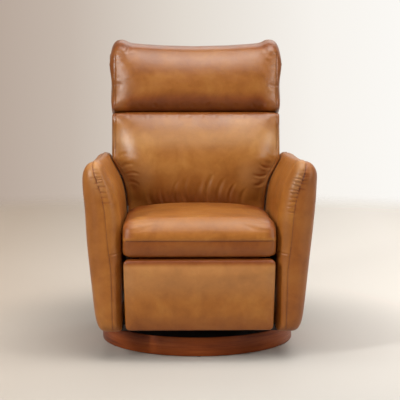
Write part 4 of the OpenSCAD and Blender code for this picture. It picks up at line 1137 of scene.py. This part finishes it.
def floor_material():
    """A pale floor that is lighter to the right as painted light, as the camera and mirrors see it,
    and plain for the light that it throws on the chair. For the camera and mirrors it also
    glows further back and to the right, as painted light, but not around the chair, which
    paints a shadow there. It fades out before its edge."""
    m = surface("studio_floor")
    split = m.add("ShaderNodeSeparateXYZ", Vector=(m.where, "Object"))
    # The floor is lighter to the right: painted light across the floor.
    side = m.span(split, "X", -0.9, 1.0, "LINEAR")
    base = m.ramp(side, "Result", [(0.0, srgb(190, 178, 166)), (0.5, srgb(202, 195, 187)),
                                   (1.0, srgb(211, 205, 199))])
    path = m.add("ShaderNodeLightPath")
    seen = m.math("MAXIMUM", (path, "Is Camera Ray"), m.mirrored(path))
    plain = m.blend("MIX", srgb(176, 168, 160), (base, "Color"), (seen, 0))
    m.put(m.shader, Base_Color=(plain, 2), Roughness=0.75)
    # The glow lifts the floor to the right and further back, but not near the chair: painted light, and a
    # painted shadow around the chair.
    glow = m.ramp(side, "Result", [(0.0, (0.17, 0.12, 0.08)), (0.5, (0.22, 0.19, 0.16)),
                                   (1.0, (0.44, 0.40, 0.35))])
    reach = m.add("ShaderNodeVectorMath", operation="LENGTH", Vector=(m.where, "Object"))
    far = m.span(split, "Y", -1.3, 0.7)
    past_painted_shadow = m.span(reach, "Value", 0.45, 1.15)
    shown = m.math("MULTIPLY", (far, "Result"), (past_painted_shadow, "Result"))
    lift = m.add("ShaderNodeEmission", Color=(glow, "Color"),
                 Strength=(m.math("MULTIPLY", (seen, 0), (shown, 0)), 0))
    lit, blend = m.add("ShaderNodeAddShader"), m.add("ShaderNodeMixShader")
    m.feed(lit, 0, (m.shader, "BSDF"))
    m.feed(lit, 1, (lift, "Emission"))
    m.feed(blend, 0, (m.span(reach, "Value", 3.2, 3.95), "Result"))
    m.feed(blend, 1, (lit, 0))
    m.feed(blend, 2, (m.add("ShaderNodeBsdfTransparent"), 0))
    m.put(m.out, Surface=(blend, "Shader"))
    return m.owner


FLOOR_R, FLOOR_SIDES = 4.0, 96
turn = np.arange(FLOOR_SIDES) * 2 * math.pi / FLOOR_SIDES
floor = new_mesh("floor", np.stack([FLOOR_R * np.cos(turn), FLOOR_R * np.sin(turn), 0 * turn], -1),
                 [tuple(range(FLOOR_SIDES))], merge=0)
floor.data.materials.append(floor_material())


def build_world():
    """A pale backdrop, darker to the left as painted shade, seen by the camera and mirrors, and a weak even
    light.
    """
    world = bpy.data.worlds.new("studio")
    scene.world = world
    w = Nodes(world)
    split = w.add("ShaderNodeSeparateXYZ", Vector=(w.where, "Generated"))
    spread = w.span(split, "X", -0.125, 0.150, "LINEAR")
    # The backdrop darkens to the left: painted shade.
    stops = [(0.0, (176, 158, 145)), (0.25, (196, 182, 170)), (0.5, (226, 218, 208)),
             (0.78, (247, 243, 237)), (1.0, (252, 250, 246))]
    backdrop = w.ramp(spread, "Result", [(at, srgb(*c)) for at, c in stops])
    path = w.add("ShaderNodeLightPath")
    mirrored = w.math("MULTIPLY", w.mirrored(path), (w.span(split, "Y", 0.0, 0.6), "Result"))
    pick = w.add("ShaderNodeMixShader")
    w.feed(pick, 0, (w.math("MAXIMUM", (path, "Is Camera Ray"), (mirrored, 0)), 0))
    w.feed(pick, 1, (w.add("ShaderNodeBackground", Color=(1.0, 0.97, 0.93, 1), Strength=0.14), 0))
    w.feed(pick, 2, (w.add("ShaderNodeBackground", Color=(backdrop, "Color")), 0))
    w.add("ShaderNodeOutputWorld", Surface=(pick, 0))


build_world()

# Name, place, target, size and power in watts
LAMPS = [("key", (1.1, -1.3, 4.3), (0, 0, 0.55), (3.8, 2.4), 104),
         ("left", (-2.6, -2.5, 2.1), (0, 0, 0.75), (0.42, 1.9), 88),
         ("right", (2.9, -1.9, 1.6), (0, 0, 0.75), (0.38, 1.8), 32),
         ("top", (0.0, -0.3, 3.1), (0, -0.1, 0.5), (2.4, 1.0), 27),
         ("rear", (0.7, 3.3, 3.9), (0, 0.3, 0.6), (3.8, 2.6), 42)]
for name, at, target, size, energy in LAMPS:
    light = bpy.data.lights.new(name, "AREA")
    light.shape = "RECTANGLE"
    light.size, light.size_y = size
    light.energy = energy
    light.color = (0.98, 0.985, 0.96)
    station(name, light, at, Vector(target) - Vector(at))

scene.view_settings.view_transform = "Standard"
